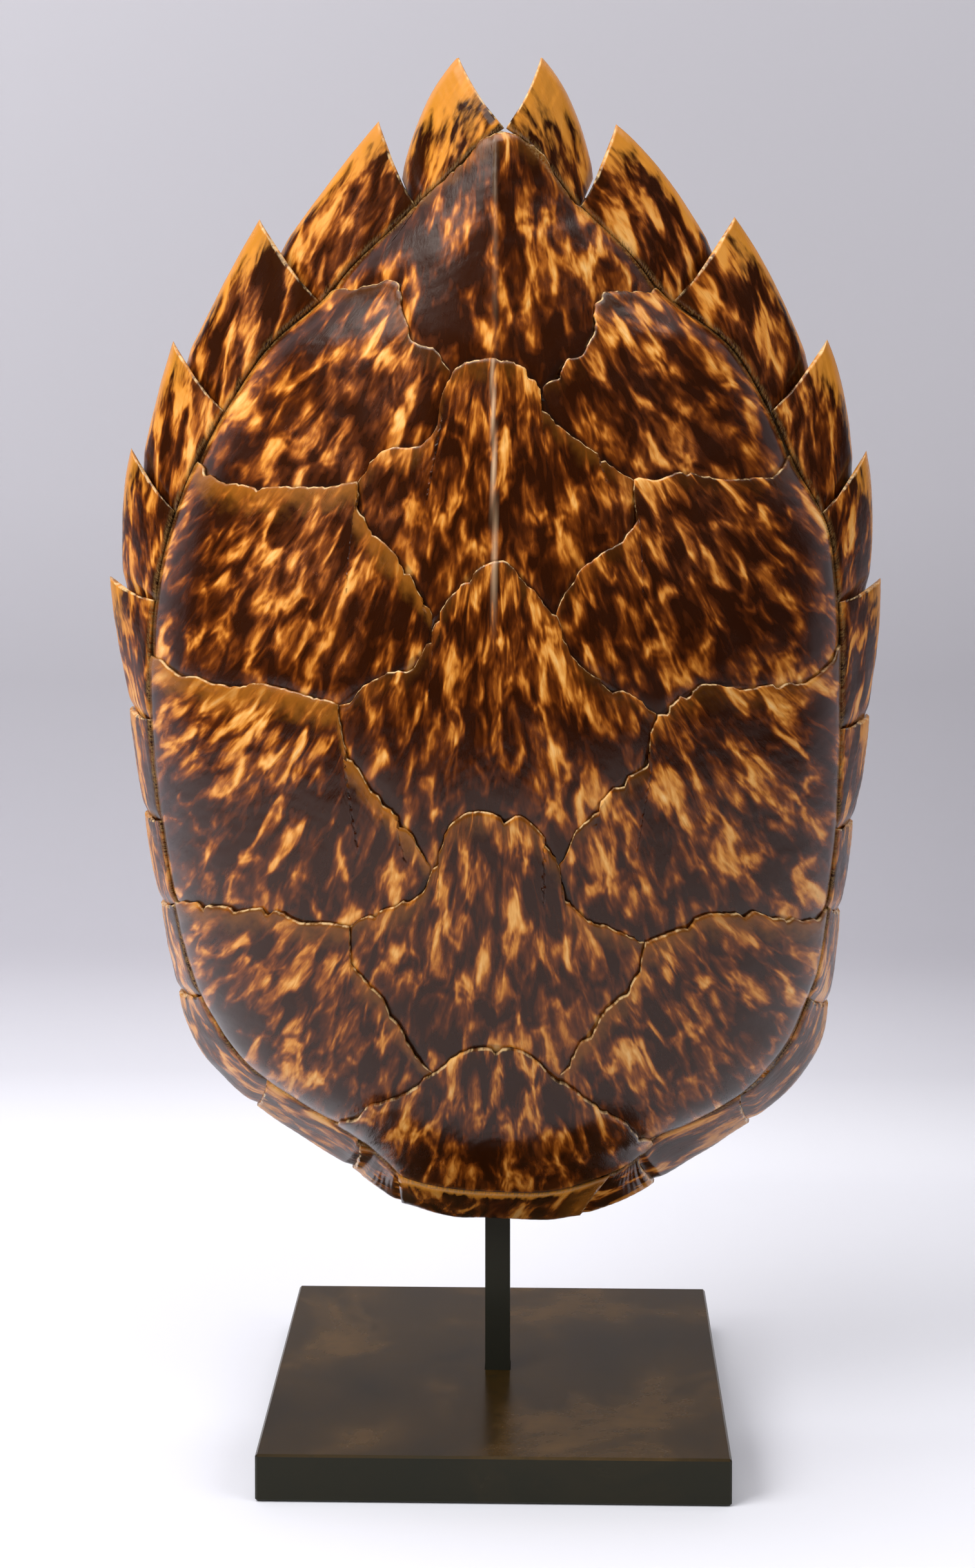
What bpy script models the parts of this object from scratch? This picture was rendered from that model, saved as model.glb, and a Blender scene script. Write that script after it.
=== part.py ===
"""A hawksbill carapace standing tail up on a bronze base and post.

Frame: the origin is the centre of the base's underside. +Z is up, the dome faces -Y and +X is the
viewer's right. Outlines are in millimetres and are turned into metres when a mesh is made.
In the outlines a point is (x, z), as seen square from the front, and the dome gives its depth.
"""
import math

import bmesh
import bpy
import numpy as np
from mathutils import Matrix, Vector

MM = 0.001

# Stand
BASE_SIDE = 254.0
BASE_THICK = 25.4
BASE_CHAMFER = 1.2
POST_SIDE = 14.3
POST_TOP = 612.0
SOCKET_DEPTH = 12.0
FIT_GAP = 0.3
ARM_SIDE = 11.0
ARM_HEIGHTS = {"lower": 230.0, "upper": 598.0}
ARM_GAP = 1.5
PLATE_SIZE = (24.0, 4.0, 36.0)
SCREW_SPREAD = 12.8
SCREW_HEAD_RADIUS = 4.2
SCREW_HEAD_THICK = 2.6
SCREW_SHANK_RADIUS = 2.0
SCREW_LENGTH = 12.0
HOLE_DEEPER = 1.0       # how much deeper a screw's hole goes than the screw
CUT_PAST = 3.0          # how far a screw hole's cutter stands out of the plate
SOCKET_PAST = 5.0       # how far the socket's cutter stands out of the base

# Layers of the shell, as depths under the highest level of the horn surface
STEP = 3.8              # how far a free edge stands above the scute that it covers
TONGUE_THICK = 1.0      # a scute's hidden front edge
FREE_THICK = 2.4        # a scute's free rear edge
BONE_TOP = 7.3
BONE_THICK = 4.6
RISE = 8.0              # a scute reaches its full height this far from the edge that covers it
FRONT_SHARE = 0.6       # share of the full height that a scute has at its front edge
FREE_FROM = 0.8         # rows past this share of a scute's length belong to its free edge
CORNER_GAP = 1.5        # clearance where three scutes meet
GROOVE_GAP = 1.1        # half the width of the groove between the dome and the margin

# Rim
RIM_THICK = 12.6        # depth of the rim where the under side's horn ends
HORN_THICK = 2.2
LIP = 5.0               # how far a marginal's rear edge reaches over the next one
LIP_DROP = 3.3          # how far the covered end of a marginal sits under that lip
SEAM_GAP = 0.9          # clearance between two marginals along the rim
WRAP = 17.0             # how far the horn goes round the edge onto the under side
WRAP_INSIDE = 9.0       # how far from the edge the horn's inner face turns back
BULGE = 2.4
BULGE_WIDTH = 40.0      # a rim at least this wide has the whole bulge
BULGE_AT = (0.4, 0.8)   # shares of the width between which the bulge falls off
EDGE_FALL = 1.0         # how far the outer edge lies under the groove's
LAPPED_SHARE = 0.65     # share of the horn's thickness where two marginals overlap
LIP_PROFILE = ((1.5, 1.9), (4.0, 1.2), (7.0, 0.6))    # in from the edge, and how deep
MIDDLE_SHARES = (0.32, 0.65)
NUCHAL_SHARES = (0.05, 0.3, 0.55, 0.8, 0.95)

# Inside of the bone
RIDGE_HALF_WIDTHS = (13.0, 17.0)
RIDGE_HEIGHT = 9.0
RIDGE_SPAN = (170.0, 690.0)
BONE_ROWS = (0.0, 0.02, 0.045, 0.075, 0.12, 0.18, 0.25, 0.32, 0.39, 0.46, 0.53, 0.6, 0.67, 0.74,
             0.81, 0.88, 0.94, 1.0)
BONE_COLUMNS = (0.22, 0.44, 0.64, 0.8, 0.9, 0.96, 1.0)
BONE_FRONT = 154.0
BONE_REAR = 692.0
TAIL_RISE = 43.0        # how far the tail end of the dome reaches past its corners
NECK_FALL = 7.0
RIM_BONE = (6.6, 6.9)   # depth of the bone's face under the rim, near the groove and near the edge
RIM_BONE_EDGE = 14.5    # how far the bone stays from the rim's edge
RIM_BONE_GAP = (2.5, 0.7)    # clearance to the horn that wraps round, along and across the rim

COLOURS = {
    "horn_dome": (0.10, 0.035, 0.012),
    "horn_margin": (0.16, 0.065, 0.02),
    "bone": (0.55, 0.42, 0.27),
    "bronze": (0.030, 0.022, 0.014),
    "screw": (0.35, 0.27, 0.14),
}


# ---------------------------------------------------------------- shape of the dome

def smooth_curve(*knots):
    """A smooth function through the knots, (z, value) pairs with z rising."""
    at = np.array([k[0] for k in knots], float)
    value = np.array([k[1] for k in knots], float)
    rise = np.diff(value) / np.diff(at)
    step = np.diff(at)
    slope = np.concatenate([rise[:1], (rise[:-1] * step[1:] + rise[1:] * step[:-1])
                            / (step[:-1] + step[1:]), rise[-1:]])

    def evaluate(z):
        z = np.clip(z, at[0], at[-1])
        i = np.clip(np.searchsorted(at, z, side="right") - 1, 0, len(at) - 2)
        t = (z - at[i]) / step[i]
        return ((1 + 2 * t) * (1 - t) ** 2 * value[i] + t * (1 - t) ** 2 * step[i] * slope[i]
                + t * t * (3 - 2 * t) * value[i + 1] + t * t * (t - 1) * step[i] * slope[i + 1])

    return evaluate


keel_depth = smooth_curve((118, -34), (135, -56), (153, -75), (180, -98), (215, -119), (260, -138),
                          (310, -150), (360, -156), (410, -157), (460, -152), (510, -142),
                          (560, -128), (610, -111), (660, -91), (700, -73), (734, -56), (781, -34))
groove_depth = smooth_curve((118, -50), (150, -62), (180, -60), (220, -55), (280, -50), (350, -47),
                            (480, -46), (600, -42), (660, -43), (700, -46), (734, -52), (781, -52))
rim_depth = smooth_curve((118, -22), (150, -19), (200, -13), (260, -8), (350, -6), (450, -7),
                         (520, -9), (580, -12), (640, -16), (700, -20), (740, -23), (781, -26))
groove_left = smooth_curve((118, 40), (150, 52), (165, 64), (181, 86), (195, 110), (215, 139),
                           (247, 163), (303, 181), (350, 189), (412, 195), (480, 191), (519, 182),
                           (549, 170), (586, 149), (620, 124), (641, 99), (662, 80), (690, 49),
                           (713, 27), (734, 10), (781, 8))
groove_right = smooth_curve((118, 40), (150, 56), (165, 78), (178, 92), (188, 115), (199, 135),
                            (221, 158), (253, 175), (303, 186), (350, 191), (412, 193), (480, 191),
                            (519, 184), (549, 168), (588, 149), (619, 128), (645, 94), (667, 75),
                            (692, 49), (713, 31), (734, 14), (781, 8))
crown_power = smooth_curve((118, 2.4), (200, 2.3), (420, 2.1), (560, 1.8), (640, 1.6), (781, 1.5))
crown_fall = smooth_curve((118, 0.62), (200, 0.6), (420, 0.6), (560, 0.66), (640, 0.76), (781, 0.85))
CROWN_REACH = 0.985     # how much of the full arch is used before the groove cuts it


def crown(s, z):
    """The arch across the shell: 1 on the keel, 0 at the groove."""
    power = crown_power(z)
    fall = crown_fall(z)
    arch = (1 - (np.clip(np.abs(s), 0, 1) * CROWN_REACH) ** power) ** fall
    foot = (1 - CROWN_REACH ** power) ** fall
    return (arch - foot) / (1 - foot)


def dome_depth(x, z):
    half = np.where(np.asarray(x) < 0, groove_left(z), groove_right(z))
    low = groove_depth(z)
    return low + (keel_depth(z) - low) * crown(x / half, z)


def dome_point(plan, height):
    """The point over plan (x, z) at this height above the horn surface, measured square to it."""
    x, z = plan
    reach = 1.0
    dx = (dome_depth(x + reach, z) - dome_depth(x - reach, z)) / (2 * reach)
    dz = (dome_depth(x, z + reach) - dome_depth(x, z - reach)) / (2 * reach)
    normal = np.array([dx, -1.0, dz])
    normal /= np.linalg.norm(normal)
    return np.array([x, dome_depth(x, z), z]) + normal * height


def resample(line, fractions):
    """Points at these fractions of the line's length."""
    line = np.array(line, float)
    run = np.concatenate([[0], np.cumsum(np.linalg.norm(np.diff(line, axis=0), axis=1))])
    want = np.array(fractions) * run[-1]
    return np.stack([np.interp(want, run, line[:, k]) for k in range(2)], axis=1)


# ---------------------------------------------------------------- free edges of the large scutes
# A vertebral's edge has a left, a middle and a right stretch, from left to right. A costal's edge has
# an outer stretch from the groove and an inner one that ends at the keel side.

VERTEBRAL_EDGES = {
    1: ([(-88, 184), (-80, 194), (-69, 203), (-50, 215), (-32, 228)],
        [(-32, 228), (-15, 243), (1, 246), (20, 240), (35, 227)],
        [(35, 227), (50, 213), (67, 199), (78, 187), (88, 172)]),
    2: ([(-76, 311), (-54, 322), (-39, 331), (-31, 345)],
        [(-31, 345), (-20, 368), (0, 375), (22, 367), (34, 346)],
        [(34, 346), (45, 322), (62, 311), (81, 303)]),
    3: ([(-82, 428), (-65, 441), (-37, 457), (-31, 476)],
        [(-31, 476), (-13, 497), (0, 504), (14, 498), (33, 476)],
        [(33, 476), (44, 454), (62, 441), (87, 424)]),
    4: ([(-73, 544), (-55, 562), (-34, 568), (-23, 603)],
        [(-23, 603), (-13, 609), (1, 609), (14, 608), (26, 594)],
        [(26, 594), (32, 578), (50, 564), (76, 545)]),
}
COSTAL_EDGES = {
    ("left", 1): ([(-180, 305), (-173, 309), (-164, 312), (-140, 315), (-108, 314), (-76, 311)],
                  [(-76, 311), (-75, 290), (-55, 267), (-32, 228)]),
    ("left", 2): ([(-192, 443), (-184, 441), (-173, 438), (-150, 435), (-114, 436), (-82, 428)],
                  [(-82, 428), (-75, 400), (-54, 378), (-31, 345)]),
    ("left", 3): ([(-166, 552), (-159, 548), (-149, 543), (-128, 540), (-100, 542), (-73, 544)],
                  [(-73, 544), (-65, 518), (-44, 500), (-31, 476)]),
    ("left", 4): ([(-89, 648), (-84, 647), (-77, 646), (-66, 649), (-54, 650), (-51, 636)],
                  [(-51, 636), (-44, 621), (-32, 613), (-23, 603)]),
    ("right", 1): ([(186, 303), (178, 302), (167, 303), (145, 312), (112, 315), (81, 303)],
                   [(81, 303), (75, 284), (56, 263), (35, 227)]),
    ("right", 2): ([(192, 450), (184, 442), (173, 436), (150, 434), (112, 438), (87, 424)],
                   [(87, 424), (79, 400), (57, 380), (34, 346)]),
    ("right", 3): ([(164, 556), (158, 551), (149, 546), (128, 544), (102, 549), (76, 545)],
                   [(76, 545), (69, 515), (45, 500), (33, 476)]),
    ("right", 4): ([(89, 649), (84, 646), (76, 645), (65, 647), (56, 643), (54, 628)],
                   [(54, 628), (48, 613), (36, 609), (26, 594)]),
}
NECK_EDGE = [(-54, 154), (-25, 149), (0, 147), (30, 147), (63, 156)]
TAIL_EDGE = [(-49, 690), (-25, 713), (-8, 729), (6, 734), (21, 726), (31, 713), (49, 692)]

ROWS = (0.0, 0.12, 0.5, 0.86, 1.0)
FRONT_ROWS = (0.0, 0.12, 0.25, 0.4, 0.56, 0.72, 0.86, 1.0)


def coons_patch(front, rear, left, right, rows):
    """Plan points between four edges, indexed [row, column]; front and rear run left to right."""
    count = len(front)
    u = np.linspace(0, 1, count)[None, :, None]
    v = np.array(rows)[:, None, None]
    front, rear, left, right = (np.array(e, float) for e in (front, rear, left, right))
    ruled_v = (1 - v) * front[None] + v * rear[None]
    ruled_u = (1 - u) * left[:, None] + u * right[:, None]
    corners = ((1 - u) * (1 - v) * front[0] + u * (1 - v) * front[-1]
               + (1 - u) * v * rear[0] + u * v * rear[-1])
    return ruled_v + ruled_u - corners


def groove_side(side, z_front, z_rear, rows):
    """The groove between two heights, as one plan point for each row."""
    half = groove_left if side == "left" else groove_right
    sign = -1 if side == "left" else 1
    line = [(sign * (float(half(z)) - GROOVE_GAP), z) for z in np.linspace(z_front, z_rear, 12)]
    return resample(line, rows)


def scute_solid(plan, reach, rows):
    """A scute as a closed solid. reach is how far its front edge goes under its neighbours."""
    columns = plan.shape[1]
    inward = plan[1] - plan[0]
    length = np.maximum(np.linalg.norm(inward, axis=1), 1e-6)[:, None]
    tongue = plan[0] - inward / length * np.array(reach)[:, None]
    top = []
    bottom = []
    for row in range(-1, len(rows)):
        v = rows[max(row, 0)]
        line = tongue if row < 0 else plan[row]
        for column in range(columns):
            away = np.linalg.norm(plan[max(row, 0)][column] - plan[0][column])
            rise = min(1.0, away / RISE) * (FRONT_SHARE + (1 - FRONT_SHARE) * v)
            height = -STEP * (1 - rise)
            thick = TONGUE_THICK + (FREE_THICK - TONGUE_THICK) * min(1.0, away / RISE)
            under = height - thick if v > FREE_FROM else -STEP - TONGUE_THICK
            top.append(dome_point(line[column], height))
            bottom.append(dome_point(line[column], max(under, -STEP - TONGUE_THICK)))
    return sheet_mesh(np.array(top), np.array(bottom), len(rows) + 1, columns)


def sheet_mesh(top, bottom, rows, columns):
    """A closed mesh between two grids of points that meet along their four borders."""
    faces = []
    count = rows * columns

    def index(row, column, layer):
        return layer * count + row * columns + column

    for row in range(rows - 1):
        for column in range(columns - 1):
            ring = [(row, column), (row, column + 1), (row + 1, column + 1), (row + 1, column)]
            faces.append([index(r, c, 0) for r, c in ring])
            faces.append([index(r, c, 1) for r, c in reversed(ring)])
    border = ([(0, c) for c in range(columns)] + [(r, columns - 1) for r in range(1, rows)]
              + [(rows - 1, c) for c in range(columns - 2, -1, -1)]
              + [(r, 0) for r in range(rows - 2, 0, -1)])
    for (r0, c0), (r1, c1) in zip(border, border[1:] + border[:1]):
        faces.append([index(r1, c1, 0), index(r0, c0, 0), index(r0, c0, 1), index(r1, c1, 1)])
    return np.concatenate([top, bottom]), faces


def join(*stretches):
    """Stretches end to end, with each shared point once."""
    line = list(stretches[0])
    for stretch in stretches[1:]:
        line += list(stretch)[1:]
    return line


def with_midpoints(line):
    """The line with one more point halfway along each of its segments."""
    fine = [line[0]]
    for a, b in zip(line, line[1:]):
        fine += [((a[0] + b[0]) / 2, (a[1] + b[1]) / 2), b]
    return fine


def with_ends(line, first, last):
    return [tuple(first)] + [tuple(p) for p in line[1:-1]] + [tuple(last)]


# How far a covered front edge goes under, for each point of a stretch. It is negative next to a
# scute's low corner, where the edge stops short.
UNDER_OUTER = [7.0, 7.0, 7.0, 7.0, 4.0, -CORNER_GAP]
UNDER_SIDE = [-CORNER_GAP, -1.0, 4.0, -CORNER_GAP]
UNDER_INNER = [-CORNER_GAP, 3.0, -1.0, -CORNER_GAP]
UNDER_KEEL = [-CORNER_GAP, 4.0, 7.0, 4.0, -CORNER_GAP]


def costal_scute(side, number):
    outer, inner = COSTAL_EDGES[side, number]
    rear = join(outer, inner)
    under_vertebral = VERTEBRAL_EDGES[number][0 if side == "left" else 2]
    if side == "right":
        under_vertebral = under_vertebral[::-1]
    rows = FRONT_ROWS if number == 1 else ROWS
    if number == 1:
        front = with_midpoints(under_vertebral)
        reach = [-CORNER_GAP, -1.0, 0.0, 2.0, 4.0, 4.0, 2.0, -CORNER_GAP, -CORNER_GAP]
    else:
        front = join(COSTAL_EDGES[side, number - 1][0], under_vertebral)
        reach = join(UNDER_OUTER, UNDER_SIDE)
    ends = groove_side(side, front[0][1], rear[0][1], rows)
    front = with_ends(front, ends[0], front[-1])
    rear = with_ends(rear, ends[-1], rear[-1])
    plan = coons_patch(front, rear, ends, [rear[-1]] * len(rows), rows)
    if side == "right":
        plan = plan[:, ::-1]
        reach = reach[::-1]
    return scute_solid(plan, reach, rows)


def vertebral_scute(number):
    edge = join(*VERTEBRAL_EDGES[number]) if number < 5 else None
    rows = FRONT_ROWS if number == 1 else ROWS
    if number == 1:
        front = resample(NECK_EDGE, np.linspace(0, 1, len(edge)))
        rear = edge
        sides = [groove_side("left", front[0][1], edge[0][1], rows),
                 groove_side("right", front[-1][1], edge[-1][1], rows)]
        reach = [-GROOVE_GAP] * len(edge)
    elif number == 5:
        left, right = COSTAL_EDGES["left", 4], COSTAL_EDGES["right", 4]
        front = join(join(*left), VERTEBRAL_EDGES[4][1], join(*right)[::-1])
        rear = resample(TAIL_EDGE, np.linspace(0, 1, len(front))) - [0.0, GROOVE_GAP]
        sides = [groove_side("left", front[0][1], rear[0][1], rows),
                 groove_side("right", front[-1][1], rear[-1][1], rows)]
        outer = [-1.0, 0.0, 2.0, 4.0, 2.0, 2.0, 4.0, -1.0, -CORNER_GAP]
        reach = join(outer, UNDER_KEEL, outer[::-1])
    else:
        front = join(COSTAL_EDGES["left", number - 1][1], VERTEBRAL_EDGES[number - 1][1],
                     COSTAL_EDGES["right", number - 1][1][::-1])
        rear = edge
        sides = [[edge[0]] * len(rows), [edge[-1]] * len(rows)]
        reach = join(UNDER_INNER, UNDER_KEEL, UNDER_INNER[::-1])
    front = with_ends(front, sides[0][0], sides[1][0])
    rear = with_ends(rear, sides[0][-1], sides[1][-1])
    return scute_solid(coons_patch(front, rear, *sides, rows), reach, rows)


# ---------------------------------------------------------------- marginals, supracaudals, nuchal
# Each row of a side is where two marginals meet: the end at the groove, the shoulder where the next
# one's edge comes out, and the tip of the one in front. Row 0 is the nuchal's side.

SEAMS = {
    "left": [((-54, 154), (-54, 127), (-54, 127)), ((-76, 170), (-83, 147), (-83, 147)),
             ((-128, 206), (-137, 180), (-138, 181)), ((-166, 252), (-182, 245), (-183, 246)),
             ((-181, 303), (-192, 296), (-193, 298)), ((-189, 350), (-201, 346), (-202, 349)),
             ((-194, 407), (-209, 405), (-211, 409)), ((-191, 474), (-216, 476), (-223, 484)),
             ((-182, 524), (-203, 551), (-210, 558)), ((-154, 580), (-177, 610), (-185, 619)),
             ((-99, 641), (-127, 668), (-135, 688)), ((-47, 694), (-57, 711), (-67, 743)),
             ((4, 737), (2, 752), (-22, 779))],
    "right": [((63, 156), (47, 120), (47, 120)), ((79, 166), (89, 140), (90, 140)),
              ((136, 200), (143, 173), (144, 174)), ((175, 253), (188, 240), (189, 242)),
              ((187, 303), (194, 292), (195, 295)), ((191, 347), (201, 343), (202, 346)),
              ((193, 403), (211, 402), (212, 406)), ((191, 474), (213, 476), (219, 484)),
              ((183, 524), (203, 548), (210, 557)), ((155, 580), (176, 608), (187, 620)),
              ((98, 641), (126, 668), (134, 689)), ((47, 694), (56, 712), (67, 741)),
              ((5, 737), (5, 752), (25, 779))],
}
EDGE_BOWS = {"left": (1, 1, 9, 1, 1, 1, 2, 3, 1, 1, 1, 5), "right": (2, 1, 11, 1, 1, 2, 2, 3, 3, 3, 4, 5)}
TAIL_SIDES = {"left": [(-47, 694), (-25, 713), (-8, 729), (4, 737)],
              "right": [(47, 694), (31, 713), (21, 726), (6, 737)]}
NUCHAL_GROOVE = [(-54, 154), (-25, 149), (0, 147), (30, 147), (63, 156)]
NUCHAL_EDGE = [(-54, 127), (-25, 120), (5, 119), (28, 118), (47, 120)]


def groove_point(plan):
    x, z = plan
    return np.array([x, float(dome_depth(x, z)), z])


def edge_point(plan):
    x, z = plan
    return np.array([x, float(rim_depth(z)), z])


def rim_frame(inner, outer):
    """Unit vectors of a cross-section of the rim: across it, and square to it on the outside."""
    across = outer - inner
    width = np.linalg.norm(across)
    across = across / width
    front = np.array([0.0, -1.0, 0.0])
    square = front - across * front.dot(across)
    return across, square / np.linalg.norm(square), width


def horn_section(inner, outer, drop, lip):
    """Ten points round the horn of one marginal: over the top, round the edge and back inside it."""
    across, square, width = rim_frame(inner, outer)
    thick = HORN_THICK * (LAPPED_SHARE if drop > 0 or lip else 1.0)
    crest = BULGE * min(1.0, width / BULGE_WIDTH)
    near, far = BULGE_AT
    top = [(GROOVE_GAP, -drop), (near * width, crest - drop), (far * width, far * crest - drop),
           (width - near * drop, -EDGE_FALL - drop)]
    if lip:
        wrap = [(width - back, -deep) for back, deep in LIP_PROFILE]
    else:
        wrap = [(width - WRAP, -RIM_THICK), (width - WRAP, -RIM_THICK + HORN_THICK),
                (width - WRAP_INSIDE, -1.6 * EDGE_FALL - thick - drop)]
    inside = [(far * width - 4.0, far * crest - drop - thick), (near * width, crest - drop - thick),
              (GROOVE_GAP, -drop - thick)]
    return [inner + across * t + square * n for t, n in top + wrap + inside]


def seam_shoulder(side, number):
    """Where a marginal's edge comes out from under the one in front of it."""
    groove, shoulder, tip = (np.array(p, float) for p in SEAMS[side][number - 1])
    if number == 1:
        return shoulder
    share = np.linalg.norm(shoulder - groove) / np.linalg.norm(tip - groove)
    return groove + (tip - groove) * min(1.0, share)


def marginal_sections(side, number):
    """Cross-sections from the covered front end to the lip that covers the next marginal."""
    grooves = [np.array(SEAMS[side][row][0], float) for row in (number - 1, number)]
    edges = [seam_shoulder(side, number), np.array(SEAMS[side][number][2], float)]
    run, chord = grooves[1] - grooves[0], edges[1] - edges[0]
    run_length, length = np.linalg.norm(run), np.linalg.norm(chord)
    outward = np.array([-chord[1], chord[0]]) / length
    if side == "right":
        outward = -outward
    bow = EDGE_BOWS[side][number - 1]
    stations = [(0.0, SEAM_GAP - LIP, LIP_DROP, False), (0.0, SEAM_GAP, LIP_DROP, False),
                (MIDDLE_SHARES[0], 0.0, 0.0, False), (MIDDLE_SHARES[1], 0.0, 0.0, False),
                (1.0, -LIP, 0.0, False),
                (1.0, -LIP, 0.0, True), (1.0, 0.0, 0.0, True)]
    if number == 12:
        stations[4:] = [(1.0, -SEAM_GAP, 0.0, False)]
    sections = []
    for share, shift, drop, is_lip in stations:
        inner = grooves[0] + run * (share + shift / run_length)
        along = share + shift / length
        outer = edges[0] + chord * along + outward * bow * 4 * along * (1 - along)
        if number == 12:
            inner = resample(TAIL_SIDES[side], [along])[0]
        elif number > 1 and 0.0 < share < 1.0:
            inner[0] = np.sign(inner[0]) * groove_half(side, inner[1])
        sections.append(horn_section(groove_point(inner), edge_point(outer), drop, is_lip))
    return sections


def groove_half(side, z):
    return float(groove_left(z) if side == "left" else groove_right(z))


def nuchal_sections():
    """The nuchal lies over both first marginals, so it has a lip at each end."""
    sections = []
    first, last = NUCHAL_SHARES[0], NUCHAL_SHARES[-1]
    stations = [(0.0, True), (first, True)] + [(share, False) for share in NUCHAL_SHARES]
    for along, is_lip in stations + [(last, True), (1.0, True)]:
        inner = resample(NUCHAL_GROOVE, [along])[0]
        outer = resample(NUCHAL_EDGE, [along])[0]
        sections.append(horn_section(groove_point(inner), edge_point(outer), 0.0, is_lip))
    return sections


def loft_mesh(sections):
    """A closed mesh through cross-sections that have the same number of points."""
    ring = len(sections[0])
    faces = []
    for s in range(len(sections) - 1):
        for k in range(ring):
            a, b = s * ring + k, s * ring + (k + 1) % ring
            faces.append([a, b, b + ring, a + ring])
    last = (len(sections) - 1) * ring
    half = ring // 2
    for k in range(half - 1):
        faces.append([k + 1, k, ring - 1 - k, ring - 2 - k])
        faces.append([last + k, last + k + 1, last + ring - 2 - k, last + ring - 1 - k])
    return np.concatenate([np.array(s) for s in sections]), faces


# ---------------------------------------------------------------- bone

def rim_line(pick):
    """One point per seam round the whole rim: down the left, past the nuchal and up the right."""
    left = [SEAMS["left"][k][pick] for k in range(12, -1, -1)]
    nuchal = (NUCHAL_GROOVE if pick == 0 else NUCHAL_EDGE)[1:-1]
    right = [SEAMS["right"][k][pick] for k in range(0, 13)]
    return np.array(left + nuchal + right, float)


def halved(line):
    """The line with one more point between each two, on a smooth curve."""
    padded = np.concatenate([2 * line[:1] - line[1:2], line, 2 * line[-1:] - line[-2:-1]])
    middles = (9 * (padded[1:-2] + padded[2:-1]) - padded[:-3] - padded[3:]) / 16
    fine = np.empty((2 * len(line) - 1, 2))
    fine[0::2] = line
    fine[1::2] = middles
    return fine


def shoulder_of(plan, grooves, shoulders):
    """The point of the rim's outer line that lies across from this point of the groove."""
    best = None
    for a, b, c, d in zip(grooves, grooves[1:], shoulders, shoulders[1:]):
        along = np.clip((plan - a).dot(b - a) / (b - a).dot(b - a), 0, 1)
        away = np.linalg.norm(a + (b - a) * along - plan)
        if best is None or away < best[0]:
            best = (away, c + (d - c) * along)
    return best[1]


def bone_plan(v, x_share, x_fixed):
    """A plan point of the dome: x is a fixed distance from the keel, or a share of the way out."""
    side_z = BONE_FRONT + (BONE_REAR - BONE_FRONT) * v
    side = "left" if x_share < 0 or x_fixed < 0 else "right"
    half = groove_half(side, side_z)
    start = RIDGE_HALF_WIDTHS[-1]
    x = x_fixed + np.sign(x_share) * (start + (half - start) * abs(x_share)) if x_share else x_fixed
    s = min(1.0, abs(x) / half)
    rise = TAIL_RISE * v ** 6 * (1 - s ** 1.5) - NECK_FALL * (1 - v) ** 6 * (1 - s * s)
    return np.array([x, side_z + rise])


def ridge(plan):
    """How far the backbone stands out of the inside of the shell."""
    x, z = plan
    low, high = RIDGE_SPAN
    ends = np.clip((z - low + 25) / 25, 0, 1) * np.clip((high + 25 - z) / 25, 0, 1)
    return RIDGE_HEIGHT * ends if abs(x) <= RIDGE_HALF_WIDTHS[0] else 0.0


def bone_mesh():
    """The bony shell: an outer and an inner grid over the dome, joined by rings round the rim."""
    flat, foot = RIDGE_HALF_WIDTHS
    columns = ([(-share, 0.0) for share in reversed(BONE_COLUMNS)]
               + [(0.0, x) for x in (-foot, -flat, 0.0, flat, foot)]
               + [(share, 0.0) for share in BONE_COLUMNS])
    plans = [[bone_plan(v, *column) for column in columns] for v in BONE_ROWS]
    last_row, last_column = len(BONE_ROWS) - 1, len(columns) - 1
    loop = ([(0, c) for c in range(last_column)] + [(r, last_column) for r in range(last_row)]
            + [(last_row, c) for c in range(last_column, 0, -1)] + [(r, 0) for r in range(last_row, 0, -1)])
    grooves = halved(rim_line(0))
    shoulders = halved(rim_line(1))
    along_gap, across_gap = RIM_BONE_GAP
    under = RIM_THICK - HORN_THICK - across_gap
    edges = {}
    rings = [[], [], []]
    for at in loop:
        plan = plans[at[0]][at[1]]
        inner = groove_point(plan)
        across, square, width = rim_frame(inner, edge_point(shoulder_of(plan, grooves, shoulders)))
        normal = dome_point(plan, 1.0) - inner
        mitre = (normal + square) / (1 + normal.dot(square))
        edges[at] = (inner, mitre)
        spots = ((BULGE_AT[0] * width, -RIM_BONE[0]), (width - RIM_BONE_EDGE, -RIM_BONE[1]),
                 (width - WRAP - along_gap, -under))
        for ring, (t, n) in zip(rings, spots):
            ring.append(inner + across * t + square * n)

    def layer(depth, with_ridge):
        points = []
        for r, row in enumerate(plans):
            for c, plan in enumerate(row):
                if (r, c) in edges:
                    inner, mitre = edges[r, c]
                    points.append(inner - mitre * depth)
                else:
                    points.append(dome_point(plan, -depth - (ridge(plan) if with_ridge else 0.0)))
        return points

    points = layer(BONE_TOP, False) + layer(BONE_TOP + BONE_THICK, True) + [p for ring in rings for p in ring]
    count = len(BONE_ROWS) * len(columns)
    faces = []
    for r in range(last_row):
        for c in range(last_column):
            quad = [r * len(columns) + c, r * len(columns) + c + 1]
            quad += [quad[1] + len(columns), quad[0] + len(columns)]
            faces.append(quad)
            faces.append([count + k for k in reversed(quad)])
    outer = [r * len(columns) + c for r, c in loop]
    chain = [outer] + [list(range(2 * count + k * len(loop), 2 * count + (k + 1) * len(loop)))
                       for k in range(3)] + [[count + k for k in outer]]
    for one, two in zip(chain, chain[1:]):
        for k in range(len(loop)):
            after = (k + 1) % len(loop)
            faces.append([one[after], one[k], two[k], two[after]])
    return np.array(points), faces


# ---------------------------------------------------------------- Blender objects

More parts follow.
